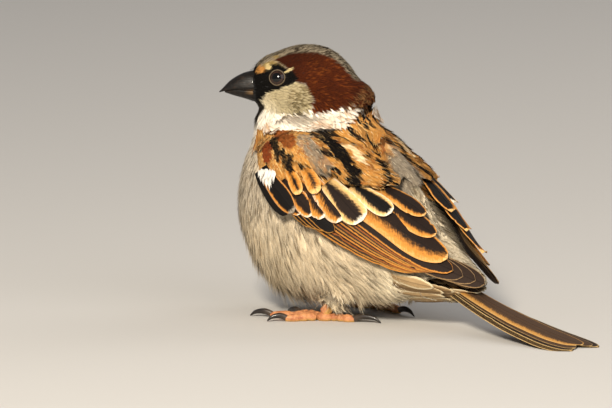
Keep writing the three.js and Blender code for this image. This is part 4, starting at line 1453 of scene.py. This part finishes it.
def ventQuills():
    made = []
    rng = np.random.default_rng(77)
    for row, (root, tip, wide, count, reach) in enumerate(ventPlan["rows"]):
        for n in range(count):
            around = reach * (2 * n / (count - 1) - 1) + rng.uniform(-0.05, 0.05)
            tints = ("covert", "covertPale") if rng.random() < 0.5 else ("covertPale", "cream")
            finish = (tailTints[tints[0]], tailTints[tints[1]], tailTints["cream"], (0.5, 0.5, 0.8))
            made.append(quill(onVent, [root, around], [tip + rng.uniform(-1, 1), around * 0.9], wide,
                              [-0.9, 0.1 + 0.25 * row], finish, camber=6, roll=0, point=0.6, blunt=0.45, rows=14,
                              seed=250 + 10 * row + n))
    return made


quillPiece("ventCoverts", ventQuills(), "body_plumage")


# mantle, scapulars and the small coverts of the shoulder, on a form that spans body and wings

backNodes = ["neck", "trunk", "wing_left_arm", "wing_right_arm", "wing_left_scapulars", "wing_right_scapulars"]
backForm = joinedForm("backForm", backNodes, swell=0.3, voxel=0.8, smoothing=14)
drawIn(backForm, lambda p: np.full(len(p), 0.9))
unwrap(backForm)


backValues = {
    # how far up the wing the coat reaches down, by the place along it: where the greater coverts and the tertials
    # come out from under it
    "lowest": ([0, 0.16, 0.24, 0.36, 0.42, 0.48, 0.54, 0.6], [0.1, 0.14, 0.22, 0.36, 0.44, 0.56, 0.76, 1.2]),
    # of the mantle's feathers, then of the shoulder's small ones
    "spacing": (0.6, 0.44), "length": (5.6, 3.0), "width": (1.3, 0.9), "tipRise": (1.0, 0.6),
    "lie": (0.7, 0.0, -0.7), "outward": 0.14, "vary": 0.08, "borders": (0.22, 0.22, 1.0), "paintedAt": 0.75,
    # the ruffled feathers behind the neck stand higher
    "hump": 1.6, "humpAt": (5.0, 0.0, 50.5), "humpReach": 6,
}


def onBack(middle, normal):
    ahead, _, up = ofHead(middle)
    x, y, z = middle.T
    s, t, off = onWingAt(middle)
    onWingPart = (t > np.interp(s, *backValues["lowest"])) & (off < 6)
    mantle = (x > -16) & (x < 17) & (z > 50 - 0.62 * x - 6) & (np.abs(y) < 14)
    facing = normal @ np.array([0.35, 0, 0.9]) > -0.1
    return (onWingPart & (normal[:, 2] > -0.35) | mantle & facing) & (up < collarLow(ahead) + 0.1)


# 1 on the shoulder, 0 on the mantle
def backSize(p):
    s, _, off = onWingAt(p)
    return (1 - smooth(s, 0.1, 0.3)) * (1 - smooth(off, 3, 6))


def backCoat():
    *spread, rng = spreadRoots(backForm, lambda p: mix(*backValues["spacing"], backSize(p)), onBack, 31)
    root, normal, _ = spread
    count = len(root)
    small = backSize(root)
    lie = np.tile(backValues["lie"], (count, 1)) + rng.normal(0, backValues["vary"], root.shape)
    lie[:, 1] -= backValues["outward"] * np.sign(root[:, 1])
    lie = flatOn(lie, normal)
    length = mix(*backValues["length"], small) * rng.uniform(0.85, 1.15, count)
    width = mix(*backValues["width"], small) * rng.uniform(0.85, 1.2, count)
    centre, edge = paintBack(root + lie * length[:, None] * backValues["paintedAt"], rng)
    away = np.linalg.norm(root - np.array(backValues["humpAt"]), axis=1) / backValues["humpReach"]
    hump = backValues["hump"] * np.exp(-away ** 2)
    tipRise = mix(*backValues["tipRise"], small) * rng.uniform(0.7, 1.3, count) + hump
    return feathersOf(spread, lie, length, width, (0.05 + hump * 0.9, tipRise, width * 0.35),
                      0.5 * smooth(root[:, 2], 44, 50) + 0.15, (centre, edge, edge), backValues["borders"])


# small coats on the back's form, worked out on the left and mirrored to the right: a patch of soft feathers on the
# wing, and the collar's feathers that fall over the front of the mantle along a line
whitePatch = {
    "place": (-10.8, -21.6, 38.9), "reach": (2.5, 2.5, 0.95), "seed": 41, "spacing": 0.42, "vary": 0.08,
    "length": (2.2, 2.9), "width": (0.8, 1.1), "rootRise": 2.2, "tipRise": (3.6, 4.1), "crown": 0.3, "loose": 0.1,
    "borders": (0.3, 0.3, 0.8),
}
collarEdge = {
    "line": [(-17.0, -15.6, 49.2), (-10.1, -15.3, 49.8), (-6.2, -14.2, 50.2), (-3.0, -10.5, 51.0), (0.4, -7.8, 52.2),
             (2.0, -5.5, 53.4)],
    "reach": 1.5, "seed": 51, "spacing": 0.5, "vary": 0.12, "length": (2.0, 3.4), "width": (0.5, 0.8),
    "rootRise": 0.9, "tipRise": (1.5, 2.3), "crown": 0.2, "loose": 0.35, "borders": (0.2, 0.2, 0.9),
}


# within(place) is below 1 where the coat grows; guide(root) is its lie, and dyed(rng, count) gives its tints
def smallCoat(plan, within, guide, dyed):
    *spread, rng = spreadRoots(backForm, lambda p: np.full(len(p), plan["spacing"]),
                               lambda middle, normal: within(mirrored(middle)) < 1, plan["seed"])
    root, normal, _ = spread
    count = len(root)
    lie = flatOn(unit(guide(root) + rng.normal(0, plan["vary"], root.shape)), normal)
    tints = dyed(rng, count)
    length, width, tipRise = (rng.uniform(*plan[key], count) for key in ("length", "width", "tipRise"))
    lift = (plan["rootRise"], tipRise, plan["crown"])
    return feathersOf(spread, lie, length, width, lift, plan["loose"], tints, plan["borders"])


def inPatch(p):
    return np.linalg.norm((p - np.array(whitePatch["place"])) / np.array(whitePatch["reach"]), axis=1)


def patchLie(root):
    return np.stack([0.5 - 0.1 * (root[:, 0] - whitePatch["place"][0]), -0.1 * np.sign(root[:, 1]),
                     np.full(len(root), -1.0)], -1)


def patchTints(rng, count):
    return [backTints["white"] * rng.uniform(0.82, 1, (count, 1))] * 3


def inCollar(p):
    return fromLine(p, np.array(collarEdge["line"])) / collarEdge["reach"]


def collarLie(root):
    return np.stack([np.full(len(root), 0.75), -0.15 * np.sign(root[:, 1]), np.full(len(root), -0.7)], -1)


def collarTints(rng, count):
    centre = mix(headTints["collar"], backTints["gold"], rng.uniform(0, 0.7, (count, 1)))
    centre = centre * rng.uniform(0.85, 1, (count, 1))
    return centre, centre, mix(centre, backTints["black"], (rng.random((count, 1)) < 0.3) * 0.7)


collarCoat = smallCoat(collarEdge, inCollar, collarLie, collarTints)
layCoat("collarEdge", backForm, "scapular", collarCoat, "body_plumage")
patchCoat = smallCoat(whitePatch, inPatch, patchLie, patchTints)
layCoat("whiteCoverts", backForm, "scapular", patchCoat, "wing_plumage")
layCoat("backPlumage", backForm, "scapular", backCoat(), "wing_plumage", "wing_left_scapulars",
        "wing_right_scapulars")


# lofts: closed tubes over rings

def ringLoft(name, rings):
    rings = np.asarray(rings)
    count, around = rings.shape[:2]
    points = np.concatenate([rings.reshape(-1, 3), rings[0].mean(0)[None], rings[-1].mean(0)[None]])
    faces = []
    for i in range(count - 1):
        for j in range(around):
            a, b = i * around + j, i * around + (j + 1) % around
            faces.append((a, b, b + around, a + around))
    first, last = count * around, count * around + 1
    for j in range(around):
        k = (j + 1) % around
        faces.append((k, j, first))
        faces.append(((count - 1) * around + j, (count - 1) * around + k, last))
    made = meshOf(name, points, faces)
    reshape(made.data, lambda shell: bmesh.ops.recalc_face_normals(shell, faces=shell.faces))
    return made


# bill: two halves that meet at the cutting edge

billLines = {
    # ahead, cutting edge, half width, depth
    "upper": np.array([(10.5, -2.6, 3.5, 5.3), (14, -2.2, 3.3, 4.9), (17, -2.05, 2.8, 4.0), (20, -2.15, 1.8, 2.35),
                       (22.2, -2.75, 0.8, 0.75), (23, -3.0, 0.3, 0.25)]),
    "lower": np.array([(10, -2.6, 3.3, 3.3), (13.5, -2.25, 3.1, 3.1), (16.5, -2.05, 2.5, 2.4),
                       (19.5, -2.1, 1.6, 1.5), (21.6, -2.5, 0.5, 0.4)]),
}


def billFinish():
    made = Finish("bill", 0.5, coat=0.08)
    made.set(Specular_IOR_Level=0.3)
    ahead, height, sideways = made.parts(made.stored("place"))
    streaks = made.noise(made.vector(ahead * 0.5, height * 2.2, sideways * 2.2), 1.0, 4.0)
    worn = made.noise(made.vector(ahead, height, sideways), 0.9, 3.0)
    black, horn, gape = (opaque(code) for code in ("0c0805", "2a1d13", "6d5230"))
    tint = made.blend(made.step(streaks, 0.42, 0.78) * 0.75, black, horn)
    corner = (1 - made.step(made.size(height + 2.6), 0.25, 0.9)) * (1 - made.step(ahead, 14.2, 16.8))
    made.set(Base_Color=made.blend(corner * 0.8, tint, gape), Roughness=made.step(worn, 0.3, 0.8) * 0.2 + 0.4)
    made.bump(streaks + worn * 0.5, 0.35, 0.0002)
    return made.material


def billHalf(name, node, line, way, finish):
    rings = []
    steps = 18
    for t in np.linspace(0, 1, 30):
        ahead, edge, wide, deep = blend(line, np.array(t))
        angle = np.linspace(0, math.pi, steps)
        side = wide * np.sign(np.cos(angle)) * np.abs(np.cos(angle)) ** 0.9
        rise = deep * np.sin(angle) ** 0.95
        rings.append(inHead(np.full(steps, ahead), side, edge + way * (0.06 + rise)))
    piece = ringLoft(name, rings)
    ahead, sideways, up = ofHead(toDrawing(vertexPlaces(piece.data)))
    pointValues(piece.data, "place", np.stack([ahead, up, sideways], -1))
    piece.data.materials.append(finish)
    dress(piece, "bill", node)


hornFinish = billFinish()
billHalf("upperBill", "bill_upper", billLines["upper"], 1, hornFinish)
billHalf("lowerBill", "bill_lower", billLines["lower"], -1, hornFinish)


# eyes: a dark glossy ball with a brown iris, and a bare pale ring of lid round it

eyeValues = {"radius": 3.0, "gaze": (0.28, 0.93, 0.2), "pupil": 24, "iris": 38, "ring": 41, "ringThick": 0.15}


def eyeFinish():
    made = Finish("eye", 0.08, coat=0.5)
    made.set(Specular_IOR_Level=0.2)
    angle, around = made.parts(made.stored("gaze"))[:2]
    fibres = made.noise(made.vector(around * 6, angle * 0.06, 0.0), 1.0, 2.0)
    pupil, iris, fibre, rim = (opaque(code) for code in ("020202", "1c0f08", "3a2214", "070403"))
    tint = made.blend(made.step(fibres, 0.3, 0.75), iris, fibre)
    tint = made.blend(made.step(angle, eyeValues["iris"] - 9, eyeValues["iris"]), tint, rim)
    tint = made.blend(made.step(angle, eyeValues["pupil"] - 1.5, eyeValues["pupil"] + 1.5), pupil, tint)
    made.set(Base_Color=tint)
    return made.material


def lidFinish():
    made = Finish("lid", 0.6)
    grain = made.noise(made.place(), 4000.0, 3.0)
    made.set(Base_Color=made.blend(grain, opaque("2e2418"), opaque("6a5638")))
    made.bump(grain, 0.4, 0.0001)
    return made.material


def buildEye(sideName, side, ballFinish, ringFinish):
    a, s, u = bodyPlan["eye"]
    centre = inHead(a, side * s, u)
    a, s, u = eyeValues["gaze"]
    gaze = unit(a * headAhead + side * s * headSide + u * upward)
    right = unit(np.cross(upward, gaze))
    over = np.cross(gaze, right)
    around = np.linspace(0, 2 * math.pi, 48, endpoint=False)
    circle = np.cos(around)[:, None] * right + np.sin(around)[:, None] * over
    angles = np.radians(np.concatenate([np.linspace(1, 50, 26), np.linspace(60, 179, 10)]))
    bulge = eyeValues["radius"] + 0.12 * np.exp(-(np.degrees(angles) / 30) ** 2)
    rings = [centre + r * (math.cos(q) * gaze + math.sin(q) * circle) for q, r in zip(angles, bulge)]
    ball = ringLoft(f"{sideName}_eye", rings)
    away = toDrawing(vertexPlaces(ball.data)) - centre
    angle = np.degrees(np.arccos(np.clip(unit(away) @ gaze, -1, 1)))
    spin = np.arctan2(away @ over, away @ right)
    pointValues(ball.data, "gaze", np.stack([angle, spin, 0 * spin], -1))
    ball.data.materials.append(ballFinish)
    lid = math.radians(eyeValues["ring"])
    tube = np.linspace(0, 2 * math.pi, 12, endpoint=False)
    section = []
    for q, way in zip(around, circle):
        corner = 1 + 0.06 * np.abs(np.cos(q)) ** 6
        out = eyeValues["radius"] * math.sin(lid) * corner
        middle = centre + gaze * (eyeValues["radius"] * math.cos(lid) + 0.1) + way * out
        thick = eyeValues["ringThick"] * (1 + 0.15 * math.sin(9 * q))
        section.append([middle + thick * (math.cos(v) * way + 0.8 * math.sin(v) * gaze) for v in tube])
    lidPoints = np.array(section).reshape(-1, 3)
    count, turns = len(around), len(tube)
    faces = [(i * turns + j, ((i + 1) % count) * turns + j, ((i + 1) % count) * turns + (j + 1) % turns,
              i * turns + (j + 1) % turns) for i in range(count) for j in range(turns)]
    ring = meshOf(f"{sideName}_lid", lidPoints, faces)
    ring.data.materials.append(ringFinish)
    dress(ball, "eye", f"eye_{sideName}")
    dress(ring, "eye")


ballFinish, ringFinish = eyeFinish(), lidFinish()
for sideName, side in sides.items():
    buildEye(sideName, side, ballFinish, ringFinish)


# feet: scaled shanks and toes with pads, and curved claws

footTints = {"skin": "d69460", "joint": "b06a42", "pad": "d0a552", "claw": "1f1814", "clawPale": "5a4a3c"}
# length, claw's length, heading in degrees, and where it starts from the middle of the foot
toePlan = {
    "middle": (15.0, 5.5, 0, 2.8), "inner": (10.0, 5.0, -29, 3.3), "outer": (10.5, 4.5, 29, 3.3),
    "hind": (8.0, 7.0, 180, 2.4),
}
toeThick = 2.4
soleRise = toeThick / 2 - 0.4


def footPoint(side, heading, distance, z):
    angle = math.radians(bodyPlan["footTurn"] + heading)
    x = -distance * math.cos(angle)
    return np.array([x, -side * (bodyPlan["footSpread"] / 2 + distance * math.sin(angle)), z])


# a tube along a route; scutes overlap like plates on its upper side and pads swell underneath
def limb(name, route, radii, scutes, finish, slot, *nodes, count=44, around=16, flat=1.0):
    t = np.linspace(0, 1, count)
    centre = blend(np.asarray(route, float), t)
    along = unit(np.gradient(centre, axis=0))
    across = unit(np.cross(along, upward))
    over = np.cross(across, along)
    radius = blend(np.array(radii)[:, None], t)[:, 0]
    angle = np.linspace(0, 2 * math.pi, around, endpoint=False)
    plate = 1 - (t * scutes) % 1
    top = smooth(np.sin(angle), -0.1, 0.6)
    rough = 0.055 * plate[:, None] * top[None] if scutes else 0
    reach = radius[:, None] * (1 + rough)
    rings = centre[:, None] + across[:, None] * (reach * np.cos(angle))[..., None]
    rings = rings + over[:, None] * (reach * flat * np.sin(angle))[..., None]
    rings[..., 2] = np.maximum(rings[..., 2], 0.02)
    piece = ringLoft(name, rings)
    length = np.linalg.norm(np.diff(centre, axis=0), axis=1).sum()
    grid = np.stack(np.broadcast_arrays(t[:, None], np.sin(angle)[None], t[:, None] * length), -1).reshape(-1, 3)
    pointValues(piece.data, "place", np.concatenate([grid, [(0, 0, 0), (1, 0, length)]]))
    piece.data.materials.append(finish)
    dress(piece, slot, *nodes)


def legFinish():
    made = Finish("legSkin", 0.5)
    _, upside, _ = made.parts(made.stored("place"))
    place = made.place()
    scales = made.node("ShaderNodeTexVoronoi", {"feature": "DISTANCE_TO_EDGE"}, {"Vector": place, "Scale": 3200.0})
    blotch = made.noise(place, 700.0, 3.0)
    tint = made.blend(made.step(blotch, 0.35, 0.7), opaque(footTints["skin"]), opaque(footTints["joint"]))
    tint = made.blend((1 - made.step(upside, -0.75, -0.1)) * 0.85, tint, opaque(footTints["pad"]))
    groove = made.step(scales, 0.0, 0.12)
    made.set(Base_Color=made.shade(tint, groove * 0.18 + 0.82))
    made.bump(groove, 0.5, 0.00012)
    return made.material


def clawFinish():
    made = Finish("clawHorn", 0.35, coat=0.2)
    along, _, _ = made.parts(made.stored("place"))
    fibres = made.noise(made.place(), 1500.0, 3.0)
    root = (1 - made.step(along, 0.0, 0.5)) * fibres
    made.set(Base_Color=made.blend(root, opaque(footTints["claw"]), opaque(footTints["clawPale"])))
    made.bump(fibres, 0.3, 0.0001)
    return made.material


# along a toe or a claw, and the height over the middle of a sole
toeLine = [(0, 0.1), (0.3, 0.25), (0.62, 0), (1, -0.05)]
clawLine = [(0, 0.15), (0.35, 0.75), (0.75, 0.45), (1, -0.55)]
toeRadii = np.array([0.62, 0.9, 0.78, 1.0, 0.78, 1.0, 0.82, 0.55]) * toeThick / 2


def footRoute(side, heading, start, reach, line):
    return [footPoint(side, heading, start + reach * f, soleRise + rise) for f, rise in line]


legSkin, clawHorn = legFinish(), clawFinish()
for sideName, side in sides.items():
    ankle = footPoint(side, 0, 0, 2.2)
    heel = np.array([12, -side * 11, 16.5])
    limb(f"{sideName}_shank", [ankle, mix(ankle, heel, 0.5), heel], [1.5, 1.12, 1.05, 1.5], 11, legSkin, "leg_skin",
         f"tarsus_{sideName}")
    limb(f"{sideName}_pad", [footPoint(side, 180, 1.8, 0.95), footPoint(side, 0, 2.2, 0.95)], [1.0, 1.85, 1.85, 1.0],
         0, legSkin, "leg_skin", count=20, flat=0.75)
    for toeName, (length, claw, heading, start) in toePlan.items():
        limb(f"{sideName}_toe_{toeName}", footRoute(side, heading, start - 0.8, length - start + 0.8, toeLine),
             toeRadii, round(length * 0.9), legSkin, "leg_skin", f"toe_{sideName}_{toeName}")
        limb(f"{sideName}_claw_{toeName}", footRoute(side, heading, length - 0.3, claw + 0.5, clawLine),
             [0.62, 0.62, 0.42, 0.12], 0, clawHorn, "claw", f"claw_{sideName}_{toeName}", count=20, around=12,
             flat=1.25)
print("eyes, bill and feet made")


# the studio: a pale floor, soft lights and a long lens

studio = {
    "azimuth": 40, "elevation": 8, "distance": 2.0, "pixelsPerMm": 3.85, "frameWidth": 612,
    "aim": (-12.33, -5.11, 28.55), "sensor": 36.0, "floor": 1.6,
    "key": {"at": (0.6, -1.1, 0.72), "size": 0.24, "power": 29.0, "tint": (1.0, 0.91, 0.77)},
    "fill": {"at": (1.0, -0.15, 0.5), "size": 0.9, "power": 3.6, "tint": (0.97, 0.97, 1.0)},
    "back": {"at": (0.2, 0.9, 0.7), "size": 0.6, "power": 2.4, "tint": (1.0, 0.96, 0.9)},
    "sky": (0.97, 0.97, 1.0), "skyPower": 0.3,
}


def buildStudio():
    half = studio["floor"] / 2
    mesh = bpy.data.meshes.new("floor")
    mesh.from_pydata([(-half, -half, 0), (half, -half, 0), (half, half, 0), (-half, half, 0)], [], [(0, 1, 2, 3)])
    floor = linked("floor", mesh)
    paper = Finish("paper", 0.9)
    paper.set(Base_Color=(0.6, 0.58, 0.55, 1))
    mesh.materials.append(paper.material)
    for name in ("key", "fill", "back"):
        values = studio[name]
        light = bpy.data.lights.new(name, "AREA")
        light.energy = values["power"]
        light.size = values["size"]
        light.color = values["tint"]
        lamp = linked(name, light)
        lamp.location = values["at"]
        lamp.rotation_euler = (-Vector(values["at"])).to_track_quat("-Z", "Y").to_euler()
    world = bpy.data.worlds.new("studio")
    world.use_nodes = True
    world.node_tree.nodes["Background"].inputs["Color"].default_value = (*studio["sky"], 1)
    world.node_tree.nodes["Background"].inputs["Strength"].default_value = studio["skyPower"]
    bpy.context.scene.world = world
    bpy.context.scene.view_settings.view_transform = "Standard"


def placeCamera():
    azimuth, elevation = math.radians(studio["azimuth"]), math.radians(studio["elevation"])
    back = Vector((math.sin(azimuth) * math.cos(elevation), -math.cos(azimuth) * math.cos(elevation),
                   math.sin(elevation)))
    seen = studio["frameWidth"] / studio["pixelsPerMm"] * mm
    camera = bpy.data.cameras.new("camera")
    camera.sensor_width = studio["sensor"]
    camera.lens = studio["sensor"] * studio["distance"] / seen
    camera.clip_start = 0.05
    camera.clip_end = 20
    holder = linked("camera", camera)
    holder.location = Vector(toModel(studio["aim"])) + back * studio["distance"]
    holder.rotation_euler = (-back).to_track_quat("-Z", "Y").to_euler()
    bpy.context.scene.camera = holder


bpy.data.objects.remove(backForm)
buildStudio()
placeCamera()
